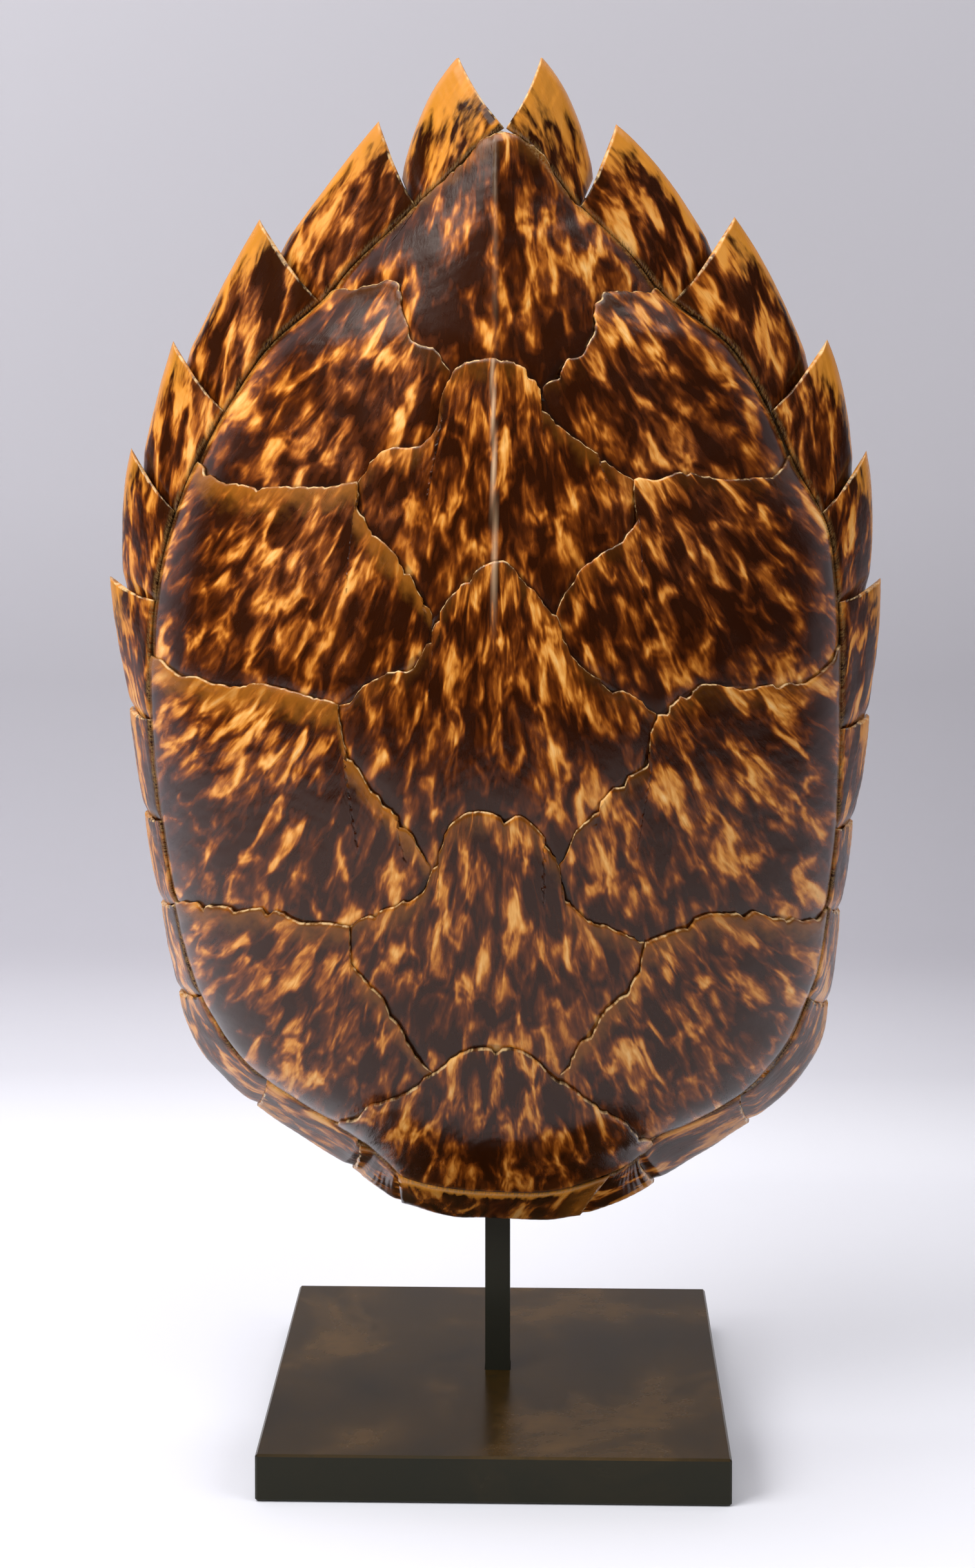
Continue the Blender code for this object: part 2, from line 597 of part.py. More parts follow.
def material(name, colour, roughness, metallic=0.0):
    slot = bpy.data.materials.new(name)
    slot.use_nodes = True
    shader = slot.node_tree.nodes["Principled BSDF"]
    shader.inputs["Base Color"].default_value = (*colour, 1.0)
    shader.inputs["Roughness"].default_value = roughness
    shader.inputs["Metallic"].default_value = metallic
    return slot


def add_mesh(name, points, faces, slot):
    """An object from points in millimetres, with doubled points joined and faces turned outwards."""
    mesh = bpy.data.meshes.new(name)
    bm = bmesh.new()
    corners = [bm.verts.new(Vector([float(c) for c in p]) * MM) for p in points]
    for face in faces:
        bm.faces.new([corners[k] for k in face])
    bmesh.ops.remove_doubles(bm, verts=bm.verts, dist=0.02 * MM)
    bmesh.ops.dissolve_degenerate(bm, edges=bm.edges, dist=0.01 * MM)
    bmesh.ops.triangulate(bm, faces=bm.faces)
    bmesh.ops.recalc_face_normals(bm, faces=bm.faces)
    bm.to_mesh(mesh)
    bm.free()
    piece = bpy.data.objects.new(name, mesh)
    bpy.context.scene.collection.objects.link(piece)
    piece.data.materials.append(slot)
    return piece


def box_mesh(low, high):
    points = [(x, y, z) for z in (low[2], high[2]) for y in (low[1], high[1]) for x in (low[0], high[0])]
    faces = [[0, 2, 3, 1], [4, 5, 7, 6], [0, 1, 5, 4], [2, 6, 7, 3], [0, 4, 6, 2], [1, 3, 7, 5]]
    return points, faces


def cut(piece, cutter, operation="DIFFERENCE"):
    """Adds a Boolean to the piece and keeps its cutter out of the model."""
    cutter.hide_render = True
    cutter.display_type = "WIRE"
    change = piece.modifiers.new(operation.lower(), "BOOLEAN")
    change.operation = operation
    change.solver = "EXACT"
    change.object = cutter


def add_base(slot):
    half = BASE_SIDE / 2
    base = add_mesh("stand_base", *box_mesh((-half, -half, 0), (half, half, BASE_THICK)), slot)
    edge = base.modifiers.new("chamfer", "BEVEL")
    edge.width = BASE_CHAMFER * MM
    edge.segments = 1
    hole = POST_SIDE / 2 + FIT_GAP
    floor = BASE_THICK - SOCKET_DEPTH
    top = BASE_THICK + SOCKET_PAST
    socket = add_mesh("socket_cutter", *box_mesh((-hole, -hole, floor), (hole, hole, top)), slot)
    cut(base, socket)


def add_post(slot):
    half = POST_SIDE / 2
    foot = BASE_THICK - SOCKET_DEPTH + FIT_GAP
    add_mesh("stand_post", *box_mesh((-half, -half, foot), (half, half, POST_TOP)), slot)


def arm_seat(z):
    """Where an arm's plate lies against the backbone: the point, and the turn of the bone there."""
    here = dome_point((0.0, z), -BONE_TOP - BONE_THICK - RIDGE_HEIGHT)
    above = dome_point((0.0, z + 1.0), -BONE_TOP - BONE_THICK - RIDGE_HEIGHT)
    return here, math.atan2(above[1] - here[1], above[2] - here[2])


def turned(piece, centre, turn):
    """Puts a piece that is modelled round the origin at its place, turned about X."""
    piece.location = Vector([float(c) for c in centre]) * MM
    piece.rotation_euler = (-turn, 0.0, 0.0)


def add_cylinder(name, radius, low, high, slot, sides=12):
    """A cylinder along Y, from low to high, modelled round the origin."""
    bm = bmesh.new()
    turn = Matrix.Rotation(math.pi / 2, 4, "X")
    place = Matrix.Translation(Vector((0, (low + high) / 2 * MM, 0)))
    bmesh.ops.create_cone(bm, cap_ends=True, segments=sides, radius1=radius * MM, radius2=radius * MM,
                          depth=(high - low) * MM, matrix=place @ turn)
    mesh = bpy.data.meshes.new(name)
    bm.to_mesh(mesh)
    bm.free()
    piece = bpy.data.objects.new(name, mesh)
    bpy.context.scene.collection.objects.link(piece)
    piece.data.materials.append(slot)
    return piece


def add_arm(name, z, bone, bronze, brass):
    """A square bar from the post to a plate on the backbone, and the plate's two screws."""
    seat, turn = arm_seat(z)
    wide, thick, tall = PLATE_SIZE
    facing = np.array([0.0, math.cos(turn), -math.sin(turn)])
    along = np.array([0.0, math.sin(turn), math.cos(turn)])
    plate_front = seat + facing * ARM_GAP
    half = ARM_SIDE / 2
    centre = plate_front + facing * thick / 2
    back = -POST_SIDE / 2 - FIT_GAP
    arm = add_mesh(f"arm_{name}", *box_mesh((-half, centre[1], centre[2] - half),
                                            (half, back, centre[2] + half)), bronze)
    plate = add_mesh(f"arm_{name}_plate", *box_mesh((-wide / 2, -thick / 2, -tall / 2),
                                                    (wide / 2, thick / 2, tall / 2)), bronze)
    turned(plate, centre, turn)
    cut(arm, plate, "UNION")
    for end, shift in (("top", SCREW_SPREAD), ("bottom", -SCREW_SPREAD)):
        spot = plate_front + along * shift
        screw_name = f"screw_{name}_{end}"
        hole = add_cylinder(f"{screw_name}_hole", SCREW_SHANK_RADIUS + FIT_GAP,
                            -SCREW_LENGTH - HOLE_DEEPER, thick + CUT_PAST, bronze)
        turned(hole, spot, turn)
        cut(arm, hole)
        cut(bone, hole)
        screw = add_cylinder(screw_name, SCREW_HEAD_RADIUS, thick + FIT_GAP,
                             thick + FIT_GAP + SCREW_HEAD_THICK, brass)
        shank = add_cylinder(f"{screw_name}_shank", SCREW_SHANK_RADIUS, -SCREW_LENGTH,
                             thick + FIT_GAP + 1, brass)
        turned(screw, spot, turn)
        turned(shank, spot, turn)
        cut(screw, shank, "UNION")


def build():
    for old in list(bpy.data.objects):
        bpy.data.objects.remove(old, do_unlink=True)
    horn = material("horn_dome", COLOURS["horn_dome"], 0.22)
    margin = material("horn_margin", COLOURS["horn_margin"], 0.25)
    ivory = material("bone", COLOURS["bone"], 0.7)
    bronze = material("bronze", COLOURS["bronze"], 0.35, 0.9)
    brass = material("screw_brass", COLOURS["screw"], 0.35, 1.0)
    for number in (1, 2, 3, 4, 5):
        add_mesh(f"vertebral_scute_{number}", *vertebral_scute(number), horn)
    for side in ("left", "right"):
        for number in (1, 2, 3, 4):
            add_mesh(f"costal_scute_{side}_{number}", *costal_scute(side, number), horn)
        for number in range(1, 12):
            add_mesh(f"marginal_scute_{side}_{number}", *loft_mesh(marginal_sections(side, number)), margin)
        add_mesh(f"supracaudal_scute_{side}", *loft_mesh(marginal_sections(side, 12)), margin)
    add_mesh("nuchal_scute", *loft_mesh(nuchal_sections()), margin)
    bone = add_mesh("carapace_bone", *bone_mesh(), ivory)
    add_base(bronze)
    add_post(bronze)
    for name, z in ARM_HEIGHTS.items():
        add_arm(name, z, bone, bronze, brass)


build()
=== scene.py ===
"""Looks for a hawksbill turtle's shell on a square bronze stand.

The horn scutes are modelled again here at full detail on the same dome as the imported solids: smooth
outlines with chipped free edges, growth ridges, a keel and flared rim plates. Lengths are in
millimetres until a mesh is made.
"""
import math

import bpy
import numpy as np
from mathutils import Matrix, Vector


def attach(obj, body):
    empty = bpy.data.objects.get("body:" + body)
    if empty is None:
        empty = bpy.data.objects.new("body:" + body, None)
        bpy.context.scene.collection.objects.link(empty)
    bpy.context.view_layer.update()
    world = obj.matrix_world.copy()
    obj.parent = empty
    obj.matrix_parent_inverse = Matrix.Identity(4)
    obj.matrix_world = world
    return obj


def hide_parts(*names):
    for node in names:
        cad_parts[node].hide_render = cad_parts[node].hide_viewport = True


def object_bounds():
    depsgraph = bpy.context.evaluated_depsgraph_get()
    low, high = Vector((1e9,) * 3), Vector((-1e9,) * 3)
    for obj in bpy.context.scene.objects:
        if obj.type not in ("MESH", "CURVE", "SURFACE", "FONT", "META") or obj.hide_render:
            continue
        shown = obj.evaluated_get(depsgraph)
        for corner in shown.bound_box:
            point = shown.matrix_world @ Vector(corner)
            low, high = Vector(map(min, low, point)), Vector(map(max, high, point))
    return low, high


MM = 0.001

# ---------------------------------------------------------------- shape of the dome


def smooth_curve(*knots):
    """A smooth function through the knots, (z, value) pairs with z rising."""
    at = np.array([k[0] for k in knots], float)
    value = np.array([k[1] for k in knots], float)
    rise = np.diff(value) / np.diff(at)
    step = np.diff(at)
    slope = np.concatenate([rise[:1], (rise[:-1] * step[1:] + rise[1:] * step[:-1])
                            / (step[:-1] + step[1:]), rise[-1:]])

    def evaluate(z):
        z = np.clip(z, at[0], at[-1])
        i = np.clip(np.searchsorted(at, z, side="right") - 1, 0, len(at) - 2)
        t = (z - at[i]) / step[i]
        return ((1 + 2 * t) * (1 - t) ** 2 * value[i] + t * (1 - t) ** 2 * step[i] * slope[i]
                + t * t * (3 - 2 * t) * value[i + 1] + t * t * (t - 1) * step[i] * slope[i + 1])

    return evaluate


keel_depth = smooth_curve((118, -34), (135, -56), (153, -75), (180, -98), (215, -119), (260, -138),
                          (310, -150), (360, -156), (410, -157), (460, -152), (510, -142),
                          (560, -128), (610, -111), (660, -91), (700, -73), (734, -56), (781, -34))
groove_depth = smooth_curve((118, -50), (150, -62), (180, -60), (220, -55), (280, -50), (350, -47),
                            (480, -46), (600, -42), (660, -43), (700, -46), (734, -52), (781, -52))
rim_depth = smooth_curve((118, -22), (150, -19), (200, -13), (260, -8), (350, -6), (450, -7),
                         (520, -9), (580, -12), (640, -16), (700, -20), (740, -23), (781, -26))
groove_left = smooth_curve((118, 40), (150, 52), (165, 64), (181, 86), (195, 110), (215, 139),
                           (247, 163), (303, 181), (350, 189), (412, 195), (480, 191), (519, 182),
                           (549, 170), (586, 149), (620, 124), (641, 99), (662, 80), (690, 49),
                           (713, 27), (734, 10), (781, 8))
groove_right = smooth_curve((118, 40), (150, 56), (165, 78), (178, 92), (188, 115), (199, 135),
                            (221, 158), (253, 175), (303, 186), (350, 191), (412, 193), (480, 191),
                            (519, 184), (549, 168), (588, 149), (619, 128), (645, 94), (667, 75),
                            (692, 49), (713, 31), (734, 14), (781, 8))
crown_power = smooth_curve((118, 2.4), (200, 2.3), (420, 2.1), (560, 1.8), (640, 1.6), (781, 1.5))
crown_fall = smooth_curve((118, 0.62), (200, 0.6), (420, 0.6), (560, 0.66), (640, 0.76), (781, 0.85))
CROWN_REACH = 0.985     # how much of the full arch is used before the groove cuts it


def crown(s, z):
    """The arch across the shell: 1 on the keel, 0 at the groove."""
    power = crown_power(z)
    fall = crown_fall(z)
    arch = (1 - (np.clip(np.abs(s), 0, 1) * CROWN_REACH) ** power) ** fall
    foot = (1 - CROWN_REACH ** power) ** fall
    return (arch - foot) / (1 - foot)


def groove_half(x, z):
    return np.where(np.asarray(x) < 0, groove_left(z), groove_right(z))


def dome_depth(x, z):
    low = groove_depth(z)
    return low + (keel_depth(z) - low) * crown(x / groove_half(x, z), z)


def dome_points(plan, height):
    """Points over plan (x, z) at these heights above the horn surface, measured square to it."""
    x, z = plan[..., 0], plan[..., 1]
    dx = (dome_depth(x + 1, z) - dome_depth(x - 1, z)) / 2
    dz = (dome_depth(x, z + 1) - dome_depth(x, z - 1)) / 2
    normal = np.stack([dx, -np.ones_like(dx), dz], -1)
    normal /= np.linalg.norm(normal, axis=-1, keepdims=True)
    return np.stack([x, dome_depth(x, z), z], -1) + normal * np.asarray(height)[..., None]


# ---------------------------------------------------------------- lines and slow noise

def run_of(line):
    """How far along the line each of its points is."""
    return np.concatenate([[0], np.cumsum(np.linalg.norm(np.diff(line, axis=0), axis=1))])


def curve(points, count):
    """Evenly spaced points on a smooth line through these ones."""
    p = np.array(points, float)
    if len(p) > 2:
        ends = np.concatenate([[2 * p[0] - p[1]], p, [2 * p[-1] - p[-2]]])
        t = np.linspace(0, 1, 12, endpoint=False)[:, None]
        parts = []
        for a, b, c, d in zip(ends, ends[1:], ends[2:], ends[3:]):
            parts.append(0.5 * (2 * b + (c - a) * t + (2 * a - 5 * b + 4 * c - d) * t ** 2
                                + (3 * b - a - 3 * c + d) * t ** 3))
        p = np.concatenate(parts + [p[-1:]])
    run = run_of(p)
    want = np.linspace(0, run[-1], count)
    return np.stack([np.interp(want, run, p[:, k]) for k in range(p.shape[1])], axis=1)


def stitch(stretches, counts):
    """Several smooth stretches end to end as one line."""
    parts = [curve(s, n + 1) for s, n in zip(stretches, counts)]
    return np.concatenate([p[:-1] for p in parts[:-1]] + [parts[-1]])


def wander(at, size, seed):
    """Smooth noise along a line, from -1 to 1."""
    lattice = np.random.default_rng(seed).uniform(-1, 1, 997)
    t = np.asarray(at, float) / size + 211.5
    i = np.floor(t).astype(int)
    f = t - i
    f = f * f * (3 - 2 * f)
    return lattice[i % 997] * (1 - f) + lattice[(i + 1) % 997] * f


def waves(x, z, size, seed):
    """Smooth noise over a plan, mostly within -1 to 1."""
    rng = np.random.default_rng(seed)
    total = 0.0
    for _ in range(10):
        turn, phase = rng.uniform(0, 2 * math.pi, 2)
        length = size * rng.uniform(0.7, 1.6)
        total = total + np.sin((x * math.cos(turn) + z * math.sin(turn)) * 2 * math.pi / length + phase)
    return total / 4.5


def ease(t):
    t = np.clip(t, 0, 1)
    return t * t * (3 - 2 * t)


def unit(vectors):
    """The vectors at length 1, or nearly nothing where they have no length."""
    return vectors / np.maximum(np.linalg.norm(vectors, axis=-1, keepdims=True), 1e-6)


# ---------------------------------------------------------------- meshes

def add_mesh(name, points, faces, marks, material):
    """A smooth-shaded object from points in millimetres, with a vector for each point by mark name."""
    mesh = bpy.data.meshes.new(name)
    mesh.from_pydata([tuple(p) for p in np.asarray(points) * MM], [], faces)
    mesh.update()
    for mark, values in marks.items():
        layer = mesh.attributes.new(mark, "FLOAT_VECTOR", "POINT")
        layer.data.foreach_set("vector", np.asarray(values, float).ravel())
    mesh.polygons.foreach_set("use_smooth", [True] * len(mesh.polygons))
    piece = bpy.data.objects.new(name, mesh)
    bpy.context.scene.collection.objects.link(piece)
    mesh.materials.append(material)
    return piece


def sheet_faces(rows, columns):
    """Faces of a closed solid between two grids that meet round their four borders."""
    count = rows * columns
    at = np.arange(count).reshape(rows, columns)
    quads = np.stack([at[:-1, :-1], at[:-1, 1:], at[1:, 1:], at[1:, :-1]], -1).reshape(-1, 4)
    border = np.concatenate([at[0, :-1], at[:-1, -1], at[-1, :0:-1], at[:0:-1, 0]])
    after = np.roll(border, -1)
    walls = np.stack([after, border, border + count, after + count], -1)
    return np.concatenate([quads, quads[:, ::-1] + count, walls]).tolist()


def show(piece, slot, *nodes):
    """Puts a piece on the one body and hides the imported solids that it stands for."""
    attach(piece, "root")
    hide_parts(*nodes)


# ---------------------------------------------------------------- the large scutes
# A vertebral's edge has a left, a middle and a right stretch, from left to right. A costal's edge has
# an outer stretch from the groove and an inner one that ends at the keel side.

VERTEBRAL_EDGES = {
    1: ([(-88, 184), (-80, 194), (-69, 203), (-50, 215), (-32, 228)],
        [(-32, 228), (-15, 243), (1, 246), (20, 240), (35, 227)],
        [(35, 227), (50, 213), (67, 199), (78, 187), (88, 172)]),
    2: ([(-76, 311), (-54, 322), (-39, 331), (-31, 345)],
        [(-31, 345), (-20, 368), (0, 375), (22, 367), (34, 346)],
        [(34, 346), (45, 322), (62, 311), (81, 303)]),
    3: ([(-82, 428), (-65, 441), (-37, 457), (-31, 476)],
        [(-31, 476), (-13, 497), (0, 504), (14, 498), (33, 476)],
        [(33, 476), (44, 454), (62, 441), (87, 424)]),
    4: ([(-73, 544), (-55, 562), (-34, 568), (-23, 603)],
        [(-23, 603), (-13, 609), (1, 609), (14, 608), (26, 594)],
        [(26, 594), (32, 578), (50, 564), (76, 545)]),
}
COSTAL_EDGES = {
    ("left", 1): ([(-180, 305), (-173, 309), (-164, 312), (-140, 315), (-108, 314), (-76, 311)],
                  [(-76, 311), (-75, 290), (-55, 267), (-32, 228)]),
    ("left", 2): ([(-192, 443), (-184, 441), (-173, 438), (-150, 435), (-114, 436), (-82, 428)],
                  [(-82, 428), (-75, 400), (-54, 378), (-31, 345)]),
    ("left", 3): ([(-166, 552), (-159, 548), (-149, 543), (-128, 540), (-100, 542), (-73, 544)],
                  [(-73, 544), (-65, 518), (-44, 500), (-31, 476)]),
    ("left", 4): ([(-89, 648), (-84, 647), (-77, 646), (-66, 649), (-54, 650), (-51, 636)],
                  [(-51, 636), (-44, 621), (-32, 613), (-23, 603)]),
    ("right", 1): ([(186, 303), (178, 302), (167, 303), (145, 312), (112, 315), (81, 303)],
                   [(81, 303), (75, 284), (56, 263), (35, 227)]),
    ("right", 2): ([(192, 450), (184, 442), (173, 436), (150, 434), (112, 438), (87, 424)],
                   [(87, 424), (79, 400), (57, 380), (34, 346)]),
    ("right", 3): ([(164, 556), (158, 551), (149, 546), (128, 544), (102, 549), (76, 545)],
                   [(76, 545), (69, 515), (45, 500), (33, 476)]),
    ("right", 4): ([(89, 649), (84, 646), (76, 645), (65, 647), (56, 643), (54, 628)],
                   [(54, 628), (48, 613), (36, 609), (26, 594)]),
}
NECK_EDGE = [(-54, 154), (-25, 149), (0, 147), (30, 147), (63, 156)]
TAIL_EDGE = [(-49, 690), (-25, 713), (-8, 729), (6, 734), (21, 726), (31, 713), (49, 692)]

GROOVE = 0.5            # half the width of the groove between the dome and the rim
ROWS = 96
OUTER_COLUMNS = 62
INNER_COLUMNS = 40

# The free edge's waves: how deep, how long and what is added to the seed for each size
EDGE_WAVES = ((0.55, 5.0, 0), (0.4, 1.9, 1), (1.9, 13.0, 3))
BITE_DEPTH = 5.6
BITE_LENGTH = 6.5
BITE_FROM = 0.4         # level of the noise above which the edge is bitten away
EDGE_CALM = 9.0         # length over which the waves fade out at an edge's ends

# How a large scute lies on the dome
STEP = 2.1              # how far a free edge stands above the scute under it
TUCK = 7.0              # how far a scute goes under the one that covers it
RISE_LENGTH = 7.0       # how soon it rises from under that edge
FRONT_SHARE = 0.55      # share of its full height that a scute has near its front
ROUND_DEPTH = 0.55      # how far the free edge is rounded off
ROUND_LENGTH = 2.2
THICK = 2.3
EDGE_THICK = 1.75
EDGE_LENGTH = 5.0       # how much of the free edge stays thin
SMOOTH_REAR = 6.0       # the swells fade out this far from the free edge
SMOOTH_FRONT = 8.0
COSTAL_FALL = 0.9       # how far a costal dips at the groove
COSTAL_FALL_LENGTH = 5.0
SWELLS = ((0.35, 60, 0), (0.12, 19, 5))    # height, length and what is added to the seed
GROWTH_HEIGHT = 0.02
GROWTH_PER_MM = 0.9
GROWTH_WAVE = (2.0, 45, 9)                 # the bend of the growth lines, as for the swells

# Marks for the horn's colour, and the painted highlight along the keel
KEEL_HIGHLIGHT_SHARE = 0.75
KEEL_HIGHLIGHT_WIDTH = 0.75
KEEL_HIGHLIGHT_START = (455, 60)                   # where the painted highlight on the keel begins, and over what length
KEEL_HIGHLIGHT_END = (590, 40)
KEEL_HIGHLIGHT_END_LOSS = 0.85
PIECE_SHIFT = 3.7                          # sets each piece's pattern apart from the next

TINTS = {"left": (0.55, 0.8, 0.75, 0.35), "right": (0.6, 0.4, 0.3, 0.3),
         "middle": (0.2, 0.5, 0.35, 0.45, 0.5)}
COSTAL_FOCUS = (85, 150)                   # where a costal's growth lines start, from its corner
VERTEBRAL_FOCUS = 120


def groove_side(side, z_front, z_rear, count, gap):
    sign = -1 if side == "left" else 1
    z = np.linspace(z_front, z_rear, count)
    return np.stack([sign * (groove_half(sign * np.ones(count), z) - gap), z], -1)


def chipped(line, seed):
    """The line with small chips and waves, square to itself, fading out at its ends."""
    run = run_of(line)
    along = unit(np.gradient(line, axis=0))
    square = np.stack([-along[:, 1], along[:, 0]], -1)
    rough = sum(deep * wander(run, long, seed + more) for deep, long, more in EDGE_WAVES)
    bites = np.maximum(0, wander(run, BITE_LENGTH, seed + 2) - BITE_FROM) * BITE_DEPTH
    fade = ease(np.minimum(run, run[-1] - run) / EDGE_CALM)
    inward = np.sign(square[:, 1].mean())
    return line + square * ((rough - bites) * fade * inward)[:, None]


def patch(front, rear, left, right, rows):
    """Plan points between four edges, indexed [row, column]; front and rear run left to right."""
    u = np.linspace(0, 1, len(front))[None, :, None]
    v = np.linspace(0, 1, rows)[:, None, None]
    corners = ((1 - u) * (1 - v) * front[0] + u * (1 - v) * front[-1]
               + (1 - u) * v * rear[0] + u * v * rear[-1])
    along = (1 - v) * front[None] + v * rear[None]
    across = (1 - u) * left[:, None] + u * right[:, None]
    return along + across - corners


def swells(x, z, to_rear, seed):
    """The uneven height of a scute's middle, with its faint growth lines."""
    high = sum(size * waves(x, z, long, seed + more) for size, long, more in SWELLS)
    bend, long, more = GROWTH_WAVE
    lines = np.sin(to_rear * GROWTH_PER_MM + bend * waves(x, z, long, seed + more))
    return high + GROWTH_HEIGHT * lines


def lie(from_front, to_rear):
    """A scute's height above the horn surface before its swells: low in front, round at the rear."""
    share = np.concatenate([[0], np.linspace(0, 1, ROWS)])[:, None]
    rise = (1 - np.exp(-from_front / RISE_LENGTH)) * (FRONT_SHARE + (1 - FRONT_SHARE) * share)
    return -STEP * (1 - rise) - ROUND_DEPTH * (1 - np.clip(to_rear / ROUND_LENGTH, 0, 1)) ** 2


def scute(name, front, rear, left, right, focus, seed, tint, keel=0.0, tuck=TUCK, fall=0.0):
    """One large scute with its tucked front edge, its free rear edge and its growth marks."""
    left[0], left[-1] = front[0], rear[0]
    right[0], right[-1] = front[-1], rear[-1]
    plan = patch(front, chipped(rear, seed), left, right, ROWS)
    lengths = np.linalg.norm(np.diff(plan, axis=0), axis=2)
    from_front = np.concatenate([np.zeros((1, plan.shape[1])), np.cumsum(lengths, axis=0)])
    to_rear = from_front[-1] - from_front
    hidden = plan[0] - unit(plan[3] - plan[0]) * np.minimum(from_front[-1], tuck)[:, None]
    plan = np.concatenate([hidden[None], plan])
    from_front = np.concatenate([from_front[:1], from_front])
    to_rear = np.concatenate([to_rear[:1], to_rear])
    x, z = plan[..., 0], plan[..., 1]
    to_groove = groove_half(x, z) - np.abs(x)
    body = ease(to_rear / SMOOTH_REAR) * ease(from_front / SMOOTH_FRONT)
    height = lie(from_front, to_rear) + body * swells(x, z, to_rear, seed)
    height -= fall * (1 - ease(to_groove / COSTAL_FALL_LENGTH))
    height += keel * body * ridge(x, z)
    thick = np.where(to_rear < EDGE_LENGTH, EDGE_THICK, THICK)
    top = dome_points(plan, height)
    bottom = dome_points(plan, height - thick)
    # kind carries the tint, the distance from the front edge for the painted shade there, and the
    # painted highlight along the keel.
    marks = {"flow": flow_of(plan, focus, seed),
             "edges": np.stack([to_rear, to_groove, 0 * x], -1),
             "kind": np.stack([np.full_like(x, tint), from_front, keel * keel_highlight(x, z)], -1)}
    marks = {k: np.concatenate([m.reshape(-1, 3)] * 2) for k, m in marks.items()}
    points = np.concatenate([top.reshape(-1, 3), bottom.reshape(-1, 3)])
    points[:, 1] = np.maximum(points[:, 1], DEEPEST)
    piece = add_mesh(name + "_horn", points, sheet_faces(*plan.shape[:2]), marks, HORN)
    show(piece, "horn_dome", name)


def keel_highlight(x, z):
    """The painted highlight on the keel: a thin pale line on the rear half, almost gone near the tail.
    """
    start, start_length = KEEL_HIGHLIGHT_START
    end, end_length = KEEL_HIGHLIGHT_END
    fade = ease((z - start) / start_length) * (1 - KEEL_HIGHLIGHT_END_LOSS * ease((z - end) / end_length))
    return KEEL_HIGHLIGHT_SHARE * fade * np.exp(-(np.abs(x - keel_line(z)) / KEEL_HIGHLIGHT_WIDTH) ** 2)


def ridge(x, z):
    """The keel: a narrow raised line that grows towards the tail."""
    off = np.abs(x - keel_line(z))
    roof = 0.6 * np.exp(-off / 7.0) + 1.3 * ease((z - 600) / 60) * np.exp(-off / 14.0)
    return ease((z - 450) / 90) * (0.8 * np.exp(-off / 1.0) + roof)


def keel_line(z):
    """How far to the side the keel wanders."""
    return 0.8 * np.sin(z / 37.0) * ease((660 - z) / 100)


def flow_of(plan, focus, seed):
    """Across and along the growth lines that fan out from a focus, and a number for the piece."""
    away = plan - np.array(focus, float)
    far = np.linalg.norm(away, axis=-1)
    middle = far.mean()
    centre = away.reshape(-1, 2).mean(axis=0)
    base = math.atan2(centre[1], centre[0])
    turn = (np.arctan2(away[..., 1], away[..., 0]) - base + math.pi) % (2 * math.pi) - math.pi
    return np.stack([turn * middle, far, np.full_like(far, seed * PIECE_SHIFT)], -1)


def costal(side, number):
    sign = -1 if side == "left" else 1
    outer, inner = (np.array(s, float) for s in COSTAL_EDGES[side, number])
    under = np.array(VERTEBRAL_EDGES[number][0 if side == "left" else 2], float)
    if side == "right":
        under = under[::-1]
    counts = (OUTER_COLUMNS, INNER_COLUMNS)
    rear = stitch((outer, inner), counts)
    if number == 1:
        front = curve(under, sum(counts) + 1)
    else:
        front = stitch((COSTAL_EDGES[side, number - 1][0], under), counts)
    edge = groove_side(side, front[0][1], rear[0][1], ROWS, GROOVE)
    front[0], rear[0] = edge[0], edge[-1]
    tip = np.repeat(rear[-1:], ROWS, axis=0)
    focus = rear[OUTER_COLUMNS] + (-sign * COSTAL_FOCUS[0], COSTAL_FOCUS[1])
    seed = 20 + number * 2 + (side == "right")
    args = (front, rear, edge, tip)
    if side == "right":
        args = (front[::-1], rear[::-1], tip, edge)
    scute(f"costal_scute_{side}_{number}", *args, focus, seed, TINTS[side][number - 1],
          fall=COSTAL_FALL)


def groove_sides(front, rear):
    """The two sides of a scute that spans the dome; its edges are made to end on them."""
    sides = []
    for side, end in (("left", 0), ("right", -1)):
        line = groove_side(side, front[end][1], rear[end][1], ROWS, GROOVE)
        front[end], rear[end] = line[0], line[-1]
        sides.append(line)
    return sides


def vertebral(number):
    counts = (INNER_COLUMNS,) * 3
    if number < 5:
        rear = stitch(VERTEBRAL_EDGES[number], counts)
    if number == 1:
        front = curve(NECK_EDGE, sum(counts) + 1)
        sides = groove_sides(front, rear)
    elif number == 5:
        left, right = COSTAL_EDGES["left", 4], COSTAL_EDGES["right", 4]
        outer, inner = OUTER_COLUMNS // 2, INNER_COLUMNS // 2
        front = stitch((left[0], left[1], VERTEBRAL_EDGES[4][1], right[1][::-1], right[0][::-1]),
                       (outer, inner, inner, inner, outer))
        rear = curve(TAIL_EDGE, len(front)) - (0, 2 * GROOVE)
        sides = groove_sides(front, rear)
    else:
        front = stitch((COSTAL_EDGES["left", number - 1][1], VERTEBRAL_EDGES[number - 1][1],
                        COSTAL_EDGES["right", number - 1][1][::-1]), counts)
        sides = [np.repeat(rear[:1], ROWS, axis=0), np.repeat(rear[-1:], ROWS, axis=0)]
        front[0], front[-1] = rear[0], rear[-1]
    focus = (2, rear[len(rear) // 2][1] + VERTEBRAL_FOCUS)
    scute(f"vertebral_scute_{number}", front, rear, *sides, focus, 10 + number,
          TINTS["middle"][number - 1], keel=1.0 if number > 2 else 0.0,
          tuck=0.0 if number == 1 else TUCK)


# ---------------------------------------------------------------- the rim
# Each row of a side is where two marginals meet: the end at the groove, the shoulder where the next
# one's edge comes out, and the tip of the one in front. Row 0 is the nuchal's side.

